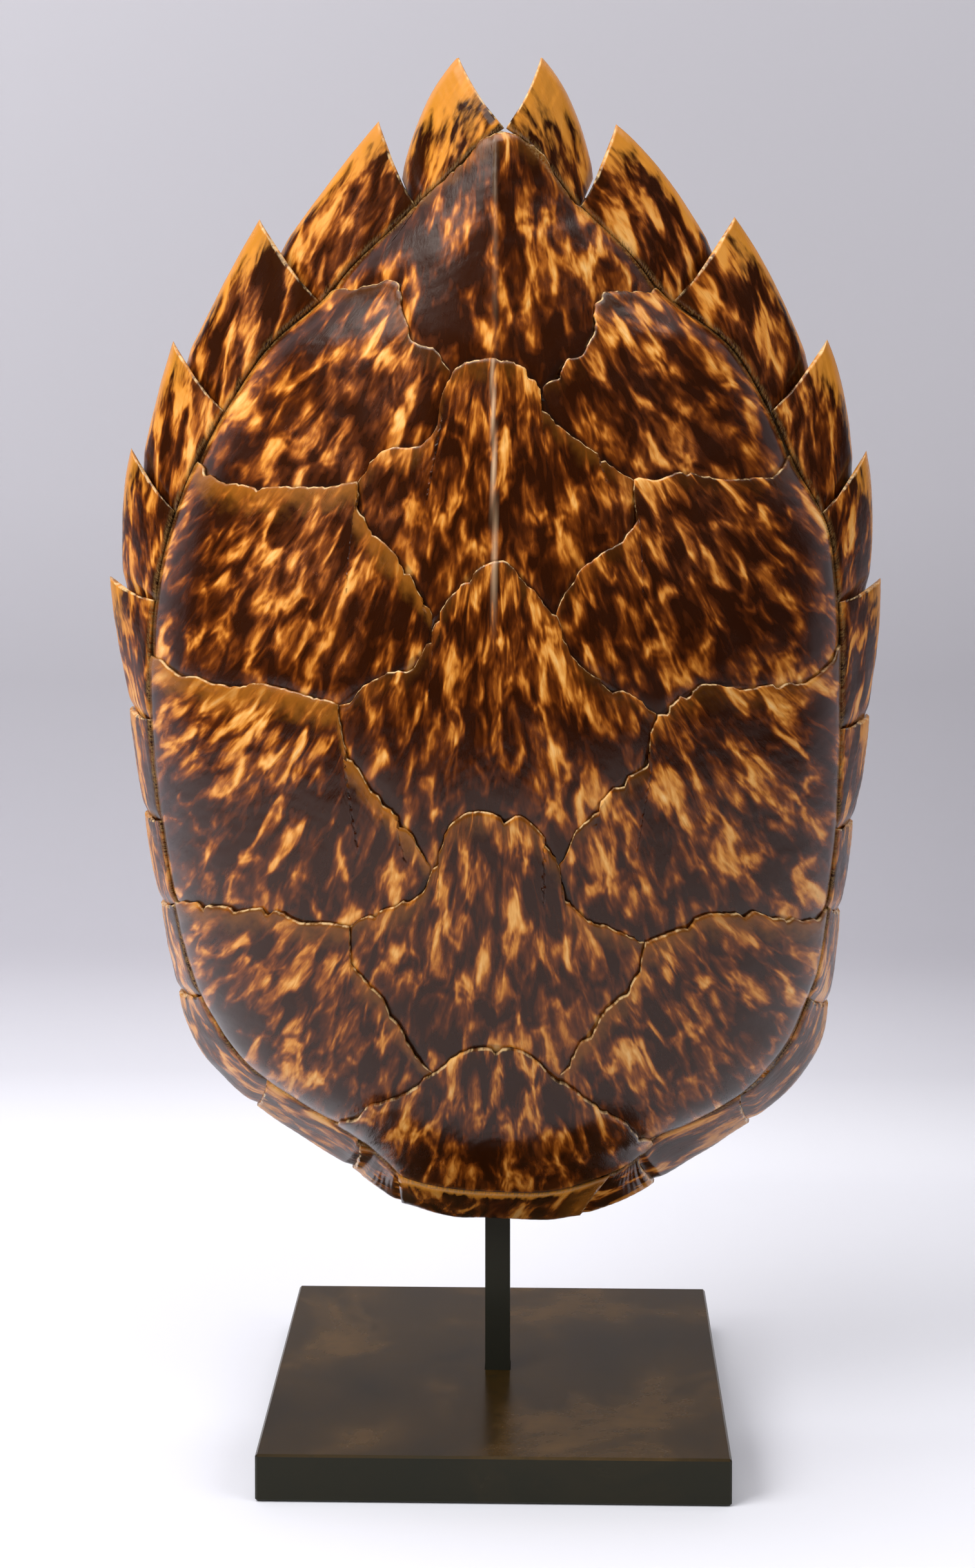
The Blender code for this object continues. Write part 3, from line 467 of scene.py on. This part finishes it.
SEAMS = {
    "left": [((-54, 154), (-54, 127), (-54, 127)), ((-76, 170), (-83, 147), (-83, 147)),
             ((-128, 206), (-137, 180), (-138, 181)), ((-166, 252), (-182, 245), (-183, 246)),
             ((-181, 303), (-192, 296), (-193, 298)), ((-189, 350), (-201, 346), (-202, 349)),
             ((-194, 407), (-209, 405), (-211, 409)), ((-191, 474), (-216, 476), (-223, 484)),
             ((-182, 524), (-203, 551), (-210, 558)), ((-154, 580), (-177, 610), (-185, 619)),
             ((-99, 641), (-127, 668), (-135, 688)), ((-47, 694), (-57, 711), (-67, 743)),
             ((4, 737), (2, 752), (-22, 779))],
    "right": [((63, 156), (47, 120), (47, 120)), ((79, 166), (89, 140), (90, 140)),
              ((136, 200), (143, 173), (144, 174)), ((175, 253), (188, 240), (189, 242)),
              ((187, 303), (194, 292), (195, 295)), ((191, 347), (201, 343), (202, 346)),
              ((193, 403), (211, 402), (212, 406)), ((191, 474), (213, 476), (219, 484)),
              ((183, 524), (203, 548), (210, 557)), ((155, 580), (176, 608), (187, 620)),
              ((98, 641), (126, 668), (134, 689)), ((47, 694), (56, 712), (67, 741)),
              ((5, 737), (5, 752), (25, 779))],
}
EDGE_BOWS = {"left": (1, 1, 9, 1, 1, 1, 2, 3, 1, 1, 1, 5),
             "right": (2, 1, 11, 1, 1, 2, 2, 3, 3, 3, 4, 5)}
TAIL_SIDES = {"left": [(-47, 694), (-25, 713), (-8, 729), (4, 737)],
              "right": [(47, 694), (31, 713), (21, 726), (6, 737)]}
NUCHAL_GROOVE = [(-54, 154), (-25, 149), (0, 147), (30, 147), (63, 156)]
NUCHAL_EDGE = [(-54, 127), (-25, 120), (5, 119), (28, 118), (47, 120)]
STATIONS = 56
RIM_THICK = 12.6
HORN_THICK = 2.2
WRAP = 17.0             # how far the horn goes round the edge onto the under side
LIP = 5.0               # how far a marginal starts in front of its seam
COVERED_DROP = 2.3      # how far that covered end sits lower
CREST = 2.4             # how far a wide plate bulges
EDGE_FALL = 1.0         # how far the outer edge lies under the groove's
LIP_LENGTH = 8.0        # the rear end of a plate is thin, as a lip, over this length
LIP_THICK = 1.9
TOP_SHARES = np.concatenate([np.linspace(0, 0.86, 16), np.linspace(0.89, 1, 9)])
ROUND_STEPS, UNDER_STEPS, INSIDE_STEPS = 8, 6, 4
EDGE_ROUND = 1.6        # radius of the outer edge, as a height
TIP_GLOW = 17.0         # how far the clear horn of a marginal's tip reaches
TAIL_TIP_GLOW = 42.0


def rim_frames(inner, outer):
    """For each cross-section of the rim: across it, square to it on the outside, and its width."""
    across = outer - inner
    width = np.linalg.norm(across, axis=1, keepdims=True)
    across = across / width
    front = np.array([0.0, -1.0, 0.0])
    square = front - across * (across @ front)[:, None]
    return across, square / np.linalg.norm(square, axis=1, keepdims=True), width[:, 0]


def rim_section(width, covered, lip):
    """A rim plate's ring of points: how far across and how high each is, [station, point]."""
    drop = COVERED_DROP * covered
    crest = CREST * np.minimum(1, width / 40)
    rows = []
    for t in TOP_SHARES:
        edge = np.maximum(0, t - 0.8) / 0.2
        h = crest * np.sin(np.clip(t * 1.25, 0, 1) * math.pi / 2) - drop
        h = h - (crest + EDGE_FALL) * edge ** 2.2 - 0.8 * (1 - ease(t * width / 3.5))
        rows.append((GROOVE + (width - GROOVE) * t, h))
    broad = ease((width - 25) / 25)
    under = RIM_THICK * (1 - 0.25 * broad) * (1 - lip) + LIP_THICK * lip
    reach = np.minimum(WRAP, width * 0.8) * (1 - lip) + 2.5 * lip
    for k in range(1, ROUND_STEPS + 1):
        a = k / ROUND_STEPS * math.pi / 2
        rows.append((width - reach * 0.16 * (1 - math.cos(a)),
                     -EDGE_FALL - drop - EDGE_ROUND * math.sin(a) * (1 - 0.5 * lip)))
    low_t, low_h = rows[-1]
    for k in range(1, UNDER_STEPS + 1):
        s = k / UNDER_STEPS
        rows.append((low_t - reach * 0.84 * s,
                     low_h - (under - 2.6) * (1 - lip) * s ** 0.8 - 0.2 * lip * s))
    last_t, last_h = rows[-1]
    inside = crest - drop - HORN_THICK * (1 - 0.3 * lip)
    for k in range(1, INSIDE_STEPS + 1):
        s = k / INSIDE_STEPS
        rows.append((last_t * (1 - s) + (GROOVE + 0.35 * width) * s, last_h * (1 - s) + inside * s))
    rows.append((GROOVE + 0 * width, inside - crest - 0.8))
    return tuple(np.stack([r[k] + 0 * width for r in rows], 1) for k in range(2))


def rim_faces(stations, ring):
    """Faces of a closed plate: its rings joined along the rim, and a strip across each end."""
    at = np.arange(stations * ring).reshape(stations, ring)
    nxt = np.roll(at, -1, axis=1)
    sides = np.stack([at[:-1], nxt[:-1], nxt[1:], at[1:]], -1).reshape(-1, 4)
    caps = []
    for s, flip in ((0, True), (stations - 1, False)):
        for k in range(ring // 2 - 1):
            face = [at[s, k], at[s, k + 1], at[s, ring - 2 - k], at[s, ring - 1 - k]]
            caps.append(face[::-1] if flip else face)
    return np.concatenate([sides, np.array(caps)]).tolist()


def rim_relief(t, run, seed):
    """The height of a rim plate's swells and growth lines."""
    swell = 0.25 * waves(t, run + 0 * t, 24, seed)
    lines = 0.05 * np.sin(run * 1.3 + 1.5 * waves(t, run + 0 * t, 30, seed + 1))
    return swell, lines


def rim_edge_cut(t, share, width, run, lipped, seed):
    """How far a rim plate's rear edge is scooped out and nicked."""
    length = run.max()
    scoop = 0.045 * width * 4 * share * (1 - share) * ease((run - length * 0.5) / (length * 0.5))
    nick = (0.45 * wander(t, 3.1, seed) + 0.25 * wander(t, 1.3, seed + 3)) * lipped
    return scoop + nick * ease((run - length + 6) / 6) * ease((1 - share) * 9) * ease(share * 9)


def rim_marks(t, share, width, run, lipped, seed, tint, seam_front):
    """The marks of a rim plate: its flow, its distances to edges, and its kind of horn."""
    to_rear = run.max() - run
    edge_far = (1 - share) * width
    number = np.full_like(t, seed * PIECE_SHIFT)
    if seam_front:
        tip_far = np.hypot(edge_far, to_rear)
        glow = TIP_GLOW if lipped else TAIL_TIP_GLOW
        honey = 0.95 * np.exp(-edge_far / 5.0) * ease(width / 30) + 1.15 * np.exp(-tip_far / glow)
        flow = np.stack([edge_far * 0.8 + seed * 5, run + edge_far * 0.9, number], -1)
    else:
        honey = 1.15 * np.exp(-t / 5.0)
        flow = np.stack([run + 0 * t, edge_far * 0.7, number], -1)
    # The nuchal has no covered front, so it is moved clear of that painted shade.
    from_front = run + 0 * t + 20 * (1 - seam_front)
    marks = {"flow": flow, "edges": np.stack([to_rear + 0 * t, t, 0 * t], -1),
             "kind": np.stack([np.full_like(t, tint), from_front, honey], -1)}
    return {k: m.reshape(-1, 3) for k, m in marks.items()}


def rim_piece(name, inner, outer, along, lipped, seed, tint, seam_front):
    """A marginal through its stations. inner and outer are plan lines; along is the run in mm."""
    inner3 = np.stack([inner[:, 0], dome_depth(inner[:, 0], inner[:, 1]), inner[:, 1]], -1)
    outer3 = np.stack([outer[:, 0], rim_depth(outer[:, 1]), outer[:, 1]], -1)
    across, square, width = rim_frames(inner3, outer3)
    covered = (1 - ease((along - along[0] - 2.0) / 12.0)) * seam_front
    lip = lipped * ease((along - along[-1] + LIP_LENGTH) / 3.0)
    t, h = rim_section(width, covered, lip)
    width = width[:, None]
    share = np.clip(t / width, 0, 1)
    run = (along - along[0])[:, None]
    ring = t.shape[1]
    on_top = np.arange(ring)[None] < len(TOP_SHARES) + 4
    swell, lines = rim_relief(t, run, seed)
    h = h + on_top * (swell * ease(share * 3) + lines) * (1 - covered[:, None])
    points = inner3[:, None] + across[:, None] * t[..., None] + square[:, None] * h[..., None]
    # A supracaudal's stations in front of its seam share one inner point: their direction is 0/0.
    back = np.diff(inner3, axis=0, append=inner3[-1:] * 2 - inner3[-2:-1])
    back /= np.linalg.norm(back, axis=1, keepdims=True)
    points = points - back[:, None] * rim_edge_cut(t, share, width, run, lipped, seed)[..., None]
    points[..., 0] = np.clip(points[..., 0], BOX_LOW[0], BOX_HIGH[0])
    points[..., 2] = np.clip(points[..., 2], None, BOX_HIGH[2])
    marks = rim_marks(t, share, width, run, lipped, seed, tint, seam_front)
    faces = rim_faces(len(along), ring)
    piece = add_mesh(name + "_horn", points.reshape(-1, 3), faces, marks, MARGIN)
    show(piece, "horn_margin", name)


def seam_shoulder(side, number):
    """Where a marginal's edge comes out from under the one in front of it."""
    groove, shoulder, tip = (np.array(p, float) for p in SEAMS[side][number - 1])
    if number == 1:
        return shoulder
    share = np.linalg.norm(shoulder - groove) / np.linalg.norm(tip - groove)
    return groove + (tip - groove) * min(1.0, share)


def marginal(side, number):
    grooves = [np.array(SEAMS[side][row][0], float) for row in (number - 1, number)]
    edges = [seam_shoulder(side, number), np.array(SEAMS[side][number][2], float)]
    run, chord = grooves[1] - grooves[0], edges[1] - edges[0]
    run_length, length = np.linalg.norm(run), np.linalg.norm(chord)
    outward = np.array([-chord[1], chord[0]]) / length * (1 if side == "left" else -1)
    bow = EDGE_BOWS[side][number - 1]
    along = np.linspace(-(LIP + 1.0), length, STATIONS)
    s_out = along / length
    s_in = np.where(along < 0, along / run_length, along / length)
    inner = grooves[0] + run * s_in[:, None]
    bulge = 4 * s_out * (1 - s_out) * (1 + 0.5 * (s_out - 0.5))
    outer = edges[0] + chord * s_out[:, None] + outward * (bow * bulge)[:, None]
    if number == 12:
        tail = curve(TAIL_SIDES[side], 200)
        spot = np.clip(s_in, 0, 1) * run_of(tail)[-1]
        inner = np.stack([np.interp(spot, run_of(tail), tail[:, k]) for k in range(2)], -1)
    else:
        sign = -1 if side == "left" else 1
        half = groove_half(sign * np.ones(len(inner)), inner[:, 1])
        fade = ease(np.minimum(s_in, 1 - s_in) * 6) if number < 3 else 1.0
        inner[:, 0] += (sign * half - inner[:, 0]) * fade
    name = f"marginal_scute_{side}_{number}" if number < 12 else f"supracaudal_scute_{side}"
    seed = 40 + number * 2 + (side == "right")
    rim_piece(name, inner, outer, along, 0.0 if number == 12 else 1.0, seed, 0.2, 1.0)


def nuchal():
    inner = curve(NUCHAL_GROOVE, STATIONS)
    outer = curve(NUCHAL_EDGE, STATIONS)
    rim_piece("nuchal_scute", inner, outer, run_of(outer), 1.0, 90, 0.9, 0.0)


# ---------------------------------------------------------------- materials

def linear(*srgb):
    """A colour from its 0 to 255 screen values."""
    shares = [c / 255 for c in srgb]
    return tuple(s / 12.92 if s <= 0.04 else ((s + 0.055) / 1.055) ** 2.4 for s in shares) + (1.0,)


class Shader:
    """A material under construction: each call adds a node and gives back its output."""

    def __init__(self, name):
        self.material = bpy.data.materials.new(name)
        self.material.use_nodes = True
        self.nodes = self.material.node_tree.nodes
        self.links = self.material.node_tree.links
        self.bsdf = self.nodes["Principled BSDF"]

    def put(self, socket, value):
        if isinstance(value, bpy.types.NodeSocket):
            self.links.new(value, socket)
        else:
            socket.default_value = value

    def set(self, **values):
        for name, value in values.items():
            self.put(self.bsdf.inputs[name.replace("_", " ")], value)

    def mark(self, name):
        node = self.nodes.new("ShaderNodeAttribute")
        node.attribute_name = name
        return node.outputs["Vector"]

    def split(self, vector):
        node = self.nodes.new("ShaderNodeSeparateXYZ")
        self.put(node.inputs[0], vector)
        return node.outputs

    def math(self, operation, a, b=0.0, c=None, clamp=False):
        node = self.nodes.new("ShaderNodeMath")
        node.operation = operation
        node.use_clamp = clamp
        self.put(node.inputs[0], a)
        self.put(node.inputs[1], b)
        if c is not None:
            self.put(node.inputs[2], c)
        return node.outputs[0]

    def scaled(self, vector, scale, shift=(0.0, 0.0, 0.0)):
        node = self.nodes.new("ShaderNodeVectorMath")
        node.operation = "MULTIPLY_ADD"
        self.put(node.inputs[0], vector)
        node.inputs[1].default_value = scale
        node.inputs[2].default_value = shift
        return node.outputs[0]

    def noise(self, vector, scale=1.0, detail=3.0, rough=0.55, distortion=0.0):
        node = self.nodes.new("ShaderNodeTexNoise")
        self.put(node.inputs["Vector"], vector)
        node.inputs["Scale"].default_value = scale
        node.inputs["Detail"].default_value = detail
        node.inputs["Roughness"].default_value = rough
        node.inputs["Distortion"].default_value = distortion
        return node.outputs["Fac"]

    def span(self, value, low, high, to_low=0.0, to_high=1.0):
        node = self.nodes.new("ShaderNodeMapRange")
        node.interpolation_type = "SMOOTHSTEP"
        self.put(node.inputs["Value"], value)
        node.inputs["From Min"].default_value = low
        node.inputs["From Max"].default_value = high
        node.inputs["To Min"].default_value = to_low
        node.inputs["To Max"].default_value = to_high
        return node.outputs[0]

    def ramp(self, value, *stops):
        node = self.nodes.new("ShaderNodeValToRGB")
        self.put(node.inputs[0], value)
        band = node.color_ramp
        while len(band.elements) < len(stops):
            band.elements.new(0.5)
        for element, (at, colour) in zip(band.elements, stops):
            element.position = at
            element.color = colour
        return node.outputs[0]

    def mix(self, share, a, b, blend="MIX"):
        node = self.nodes.new("ShaderNodeMix")
        node.data_type = "RGBA"
        node.blend_type = blend
        self.put(node.inputs["Factor"], share)
        self.put(node.inputs["A"], a)
        self.put(node.inputs["B"], b)
        return node.outputs["Result"]

    def bump(self, height, strength, distance, under=None):
        node = self.nodes.new("ShaderNodeBump")
        node.inputs["Strength"].default_value = strength
        node.inputs["Distance"].default_value = distance
        self.put(node.inputs["Height"], height)
        if under is not None:
            self.put(node.inputs["Normal"], under)
        return node.outputs[0]


def tortoiseshell(m, flow):
    """Amber flames drawn out along the growth lines, on dark brown; also the noises behind them."""
    broad = m.noise(m.scaled(flow, (0.040, 0.020, 1.0)), detail=1.0, rough=0.5, distortion=0.4)
    flames = m.noise(m.scaled(flow, (0.115, 0.042, 1.0), (0, 0, 31.0)), detail=2.0, rough=0.5,
                     distortion=0.6)
    jags = m.noise(m.scaled(flow, (0.36, 0.10, 1.0), (3.0, 0, 11.0)), detail=2.5, rough=0.55,
                   distortion=0.4)
    value = m.math("MULTIPLY_ADD", flames, 0.74, m.math("MULTIPLY_ADD", broad, 0.24, -0.09))
    value = m.math("MULTIPLY_ADD", jags, 0.19, value)
    colour = m.ramp(value, (0.42, linear(38, 12, 1)), (0.48, linear(64, 25, 3)),
                    (0.525, linear(96, 44, 8)), (0.565, linear(142, 76, 20)),
                    (0.61, linear(192, 122, 46)), (0.67, linear(216, 158, 84)),
                    (0.77, linear(228, 186, 128)))
    streaks = m.noise(m.scaled(flow, (0.9, 0.09, 1.0), (0, 0, 7.0)), detail=3.0, rough=0.6)
    colour = m.mix(m.span(streaks, 0.52, 0.78, 0.0, 0.3), colour, linear(58, 24, 6))
    return colour, flames, jags


def edge_colours(m, colour, flow, to_edge, tint):
    """Clearer horn behind a free edge, and a pale broken line on the edge itself."""
    edge_noise = m.noise(m.scaled(flow, (0.11, 0.11, 1.0), (9.0, 3.0, 2.0)), detail=3.0)
    reach = m.math("MULTIPLY_ADD", tint, -9.0, m.math("ADD", to_edge, 13.0))
    reach = m.math("MULTIPLY_ADD", edge_noise, -22.0, reach)
    clear = m.math("MULTIPLY", m.span(reach, -5.0, 14.0, 0.8, 0.0), m.span(tint, 0.1, 0.9))
    colour = m.mix(clear, colour, linear(138, 82, 22))
    lip_noise = m.noise(m.scaled(flow, (0.22, 0.22, 1.0), (2.0, 8.0, 2.0)), detail=3.0)
    lip = m.math("MULTIPLY", m.span(to_edge, 0.2, 1.1, 0.8, 0.0),
                 m.span(lip_noise, 0.42, 0.64, 0.05, 1.0))
    return m.mix(lip, colour, linear(212, 176, 124))


def dust_and_shade_colours(m, colour, flow, to_groove, from_front):
    """Dust in the groove, and painted shade in a dark line where a scute comes out from under another.
    """
    dirt_noise = m.noise(m.scaled(flow, (0.9, 0.9, 1.0)), detail=4.0, rough=0.7)
    dirt = m.math("MULTIPLY", m.span(to_groove, 0.6, 4.0, 0.9, 0.0),
                  m.span(dirt_noise, 0.42, 0.6))
    colour = m.mix(dirt, colour, linear(128, 96, 54))
    # Painted shade: a dark band along the front edge where a scute comes out from under the one over it.
    return m.mix(m.span(from_front, 0.0, 2.0, 0.5, 0.0), colour, linear(26, 12, 6))


def horn(name, honey_and_highlight_colour, ragged):
    """Polished tortoiseshell with one marked colour, whose border is torn if ragged: on the rim it is
    the clear honey horn, on the dome a painted highlight along the keel.
    """
    m = Shader(name)
    flow = m.mark("flow")
    to_edge, to_groove, _ = m.split(m.mark("edges"))
    tint, from_front, honey_and_keel_highlight = m.split(m.mark("kind"))
    colour, flames, jags = tortoiseshell(m, flow)
    if ragged:
        torn = m.math("MULTIPLY_ADD", flames, 1.6, m.math("MULTIPLY_ADD", jags, 0.9, honey_and_keel_highlight))
        honey_and_keel_highlight = m.span(torn, 1.45, 1.95, 0.0, 0.85)
    colour = m.mix(honey_and_keel_highlight, colour, honey_and_highlight_colour)
    colour = edge_colours(m, colour, flow, to_edge, tint)
    colour = dust_and_shade_colours(m, colour, flow, to_groove, from_front)
    smudge = m.noise(m.scaled(flow, (0.035, 0.03, 1.0), (4.0, 4.0, 5.0)), detail=4.0, rough=0.6)
    fine = m.noise(m.scaled(flow, (1.6, 0.35, 1.0)), detail=3.0)
    rough = m.math("MULTIPLY_ADD", fine, 0.08, m.span(smudge, 0.3, 0.75, 0.13, 0.28))
    relief = m.noise(m.scaled(flow, (0.34, 0.12, 1.0), (1.0, 2.0, 3.0)), detail=5.0, rough=0.6)
    normal = m.bump(relief, 0.2, 0.0011)
    normal = m.bump(fine, 0.16, 0.00018, normal)
    m.set(Base_Color=colour, Roughness=rough, IOR=1.5, Normal=normal, Specular_IOR_Level=0.34)
    m.set(Specular_Tint=(1.0, 0.92, 0.84, 1.0))
    return m.material


def bronze(name):
    """Dark brown patina on bronze, polished thin in places."""
    m = Shader(name)
    where = m.nodes.new("ShaderNodeTexCoord").outputs["Object"]
    cloud = m.noise(where, scale=9.0, detail=6.0, rough=0.6, distortion=0.4)
    speck = m.noise(where, scale=160.0, detail=3.0, rough=0.6)
    colour = m.ramp(cloud, (0.30, linear(28, 22, 10)), (0.52, linear(50, 36, 15)),
                    (0.70, linear(88, 64, 32)))
    colour = m.mix(m.span(speck, 0.5, 0.8, 0.0, 0.35), colour, linear(20, 22, 18))
    facing = m.split(m.nodes.new("ShaderNodeNewGeometry").outputs["Normal"])[2]
    colour = m.mix(m.span(facing, 0.3, 0.9, 0.85, 0.0), colour, linear(38, 40, 35))
    rough = m.span(cloud, 0.3, 0.7, 0.16, 0.30)
    m.set(Base_Color=colour, Roughness=rough, Metallic=0.1, IOR=1.45, Normal=m.bump(speck, 0.08, 0.0002))
    m.set(Specular_IOR_Level=0.13, Specular_Tint=(1.0, 0.88, 0.7, 1.0))
    return m.material


def plain(name, colour, roughness, metallic=0.0):
    m = Shader(name)
    m.set(Base_Color=colour, Roughness=roughness, Metallic=metallic)
    return m.material


SUTURE_PITCH = 0.062    # metres between the sutures of the bone plates
SUTURE_SLOPE = -0.16    # how they lean as they leave the keel
SUTURE_SIDE = 0.036     # metres from the middle to the suture that runs along the shell
SUTURE_WIDTH = 0.0014


def sutures(m, where):
    """The jagged lines between the bone plates: 1 on a line, 0 beside it."""
    x, _, z = m.split(where)
    side = m.math("ABSOLUTE", x)
    zigzag = m.noise(where, scale=70.0, detail=3.0, rough=0.7)
    rank = m.math("MULTIPLY_ADD", side, SUTURE_SLOPE, z)
    rank = m.math("MULTIPLY_ADD", zigzag, 0.010, rank)
    across = m.math("PINGPONG", m.math("DIVIDE", rank, SUTURE_PITCH), 0.5)
    off = m.math("SUBTRACT", m.math("MULTIPLY_ADD", zigzag, 0.012, side), SUTURE_SIDE)
    nearest = m.math("MINIMUM", m.math("MULTIPLY", across, SUTURE_PITCH), m.math("ABSOLUTE", off))
    return m.span(nearest, 0.0, SUTURE_WIDTH, 1.0, 0.0)


def bone_look(name):
    """Dry bone: cream with darker grain, and the sutures between its plates."""
    m = Shader(name)
    where = m.nodes.new("ShaderNodeTexCoord").outputs["Object"]
    cloud = m.noise(where, scale=14.0, detail=6.0, rough=0.6)
    grain = m.noise(where, scale=220.0, detail=4.0, rough=0.65)
    colour = m.ramp(cloud, (0.3, linear(150, 118, 78)), (0.6, linear(196, 168, 126)),
                    (0.8, linear(212, 190, 152)))
    colour = m.mix(m.span(grain, 0.5, 0.8, 0.0, 0.4), colour, linear(120, 90, 58))
    line = sutures(m, where)
    colour = m.mix(m.math("MULTIPLY", line, 0.75), colour, linear(92, 64, 38))
    normal = m.bump(line, 0.6, -0.0012)
    m.set(Base_Color=colour, Roughness=0.62, Normal=m.bump(grain, 0.4, 0.0005, normal))
    return m.material


def roughen(bone):
    """Gives the bone the low swells and dips of the real thing."""
    finer = bone.modifiers.new("finer", "SUBSURF")
    finer.subdivision_type = "SIMPLE"
    finer.levels = finer.render_levels = 3
    swell = bpy.data.textures.new("swell", "CLOUDS")
    swell.noise_scale = 0.03
    swell.noise_depth = 3
    dips = bone.modifiers.new("dips", "DISPLACE")
    dips.texture = swell
    dips.texture_coords = "LOCAL"
    dips.strength = 0.0012
    dips.mid_level = 0.5


# ---------------------------------------------------------------- room, light and camera

WALL_AT = 0.56
COVE = 0.14             # radius of the curve between table and wall
COVE_STEPS = 16
ROOM = 3.2              # half the sheet's width, and its height
NEAR_END = -3.0
PAPER_DROP = 0.2        # millimetres that the table lies under the base


def sheet_rows():
    """The sheet's section from the near end to the top of the wall, as (y, z) in metres."""
    rows = [(NEAR_END, 0.0), (WALL_AT - COVE, 0.0)]
    for k in range(1, COVE_STEPS + 1):
        a = k / COVE_STEPS * math.pi / 2
        rows.append((WALL_AT - COVE + COVE * math.sin(a), COVE - COVE * math.cos(a)))
    return rows + [(WALL_AT, ROOM)]


def paper(name):
    """Pale at the table and darker grey up the wall, painted shade of the light falling off with height;
    clear from behind, so views from there aren't blocked.
    """
    m = Shader(name)
    where = m.nodes.new("ShaderNodeTexCoord").outputs["Object"]
    height = m.math("MULTIPLY", m.split(where)[2], 2.0)
    # Painted shade: the paper's grey darkens with height up the wall.
    colour = m.ramp(height, (0.0, linear(212, 212, 218)), (0.1, linear(188, 187, 194)),
                    (0.25, linear(176, 174, 181)), (0.7, linear(157, 155, 161)),
                    (1.0, linear(163, 161, 167)))
    m.set(Base_Color=colour, Roughness=0.9)
    clear = m.nodes.new("ShaderNodeBsdfTransparent")
    either = m.nodes.new("ShaderNodeMixShader")
    m.put(either.inputs[0], m.nodes.new("ShaderNodeNewGeometry").outputs["Backfacing"])
    m.put(either.inputs[1], m.bsdf.outputs[0])
    m.put(either.inputs[2], clear.outputs[0])
    m.put(m.nodes["Material Output"].inputs[0], either.outputs[0])
    return m.material


def room():
    """A table that curves up into a wall, as one sheet."""
    rows = sheet_rows()
    points = [(x / MM, y / MM, z / MM - PAPER_DROP) for y, z in rows for x in (-ROOM, ROOM)]
    faces = [[2 * k, 2 * k + 1, 2 * k + 3, 2 * k + 2] for k in range(len(rows) - 1)]
    sheet = add_mesh("studio", points, faces, {}, paper("studio_paper"))


def softbox(name, place, aim, size, power, mirrored=True):
    """A rectangular light; one that isn't mirrored lights the horn but makes no glare on it."""
    data = bpy.data.lights.new(name, "AREA")
    data.shape = "RECTANGLE"
    data.size, data.size_y = size
    data.energy = power
    light = bpy.data.objects.new(name, data)
    light.location = place
    light.rotation_euler = (Vector(aim) - Vector(place)).to_track_quat("-Z", "Y").to_euler()
    light.visible_glossy = mirrored
    bpy.context.scene.collection.objects.link(light)


def lights():
    softbox("key_left", (-1.5, -1.1, 1.5), (0.0, -0.1, 0.45), (1.3, 1.3), 56.0, mirrored=False)
    softbox("sheen_left", (-0.85, -0.15, 2.1), (-0.1, 0.0, 0.65), (1.0, 1.0), 12.0)
    softbox("fill_right", (1.5, -0.9, 1.3), (0.6, -0.3, 0.0), (1.2, 1.2), 17.0, mirrored=False)
    softbox("top", (0.1, 0.0, 2.3), (0.0, 0.1, 0.0), (2.2, 1.6), 38.0)
    world = bpy.data.worlds.new("studio_world")
    bpy.context.scene.world = world
    world.use_nodes = True
    background = world.node_tree.nodes["Background"]
    background.inputs["Color"].default_value = (0.80, 0.80, 0.86, 1.0)
    background.inputs["Strength"].default_value = 0.05


CAMERA_AT = (0.031, -1.513, 0.617)
CAMERA_PITCH = 1.72     # degrees down
CAMERA_YAW = 1.40       # degrees to the left
CAMERA_SHIFT = -0.23
LENS = 60.6


def camera():
    data = bpy.data.cameras.new("camera")
    data.lens = LENS
    data.shift_y = CAMERA_SHIFT
    data.clip_start = 0.05
    data.clip_end = 30.0
    eye = bpy.data.objects.new("camera", data)
    eye.location = CAMERA_AT
    eye.rotation_euler = (math.radians(90 - CAMERA_PITCH), 0.0, math.radians(CAMERA_YAW))
    bpy.context.scene.collection.objects.link(eye)
    bpy.context.scene.camera = eye


# ---------------------------------------------------------------- the scene

BOX_INSET = 0.05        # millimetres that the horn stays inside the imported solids' box


def look_of(name):
    """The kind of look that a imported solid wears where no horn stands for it, or None."""
    if "bone" in name:
        return "bone"
    if "screw" in name:
        return "screw"
    return "bronze" if name.startswith(("stand", "arm")) else None


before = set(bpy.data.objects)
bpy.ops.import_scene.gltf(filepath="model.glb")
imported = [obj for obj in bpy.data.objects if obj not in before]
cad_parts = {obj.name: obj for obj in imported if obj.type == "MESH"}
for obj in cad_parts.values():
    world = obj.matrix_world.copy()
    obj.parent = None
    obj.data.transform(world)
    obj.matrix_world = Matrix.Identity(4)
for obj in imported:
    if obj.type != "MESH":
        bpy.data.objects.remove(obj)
cad_box = [list(corner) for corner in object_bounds()]
BOX_LOW = np.array(cad_box[0]) / MM + BOX_INSET
BOX_HIGH = np.array(cad_box[1]) / MM - BOX_INSET
DEEPEST = BOX_LOW[1]
# The dome's marked colour is a painted highlight along the keel; the rim's is its honey horn.
HORN = horn("horn_dome", linear(214, 178, 140), False)
MARGIN = horn("horn_margin", linear(188, 122, 40), True)
for number in range(1, 6):
    vertebral(number)
for side in ("left", "right"):
    for number in range(1, 5):
        costal(side, number)
    for number in range(1, 13):
        marginal(side, number)
nuchal()
looks = {"bone": bone_look("dry_bone"), "bronze": bronze("bronze_patina"),
         "screw": plain("old_brass", linear(150, 120, 70), 0.35, 1.0)}
roughen(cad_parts["carapace_bone"])
for name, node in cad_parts.items():
    if look_of(name):
        node.material_slots[0].material = looks[look_of(name)]
room()
lights()
camera()
bpy.context.scene.view_settings.view_transform = "Standard"
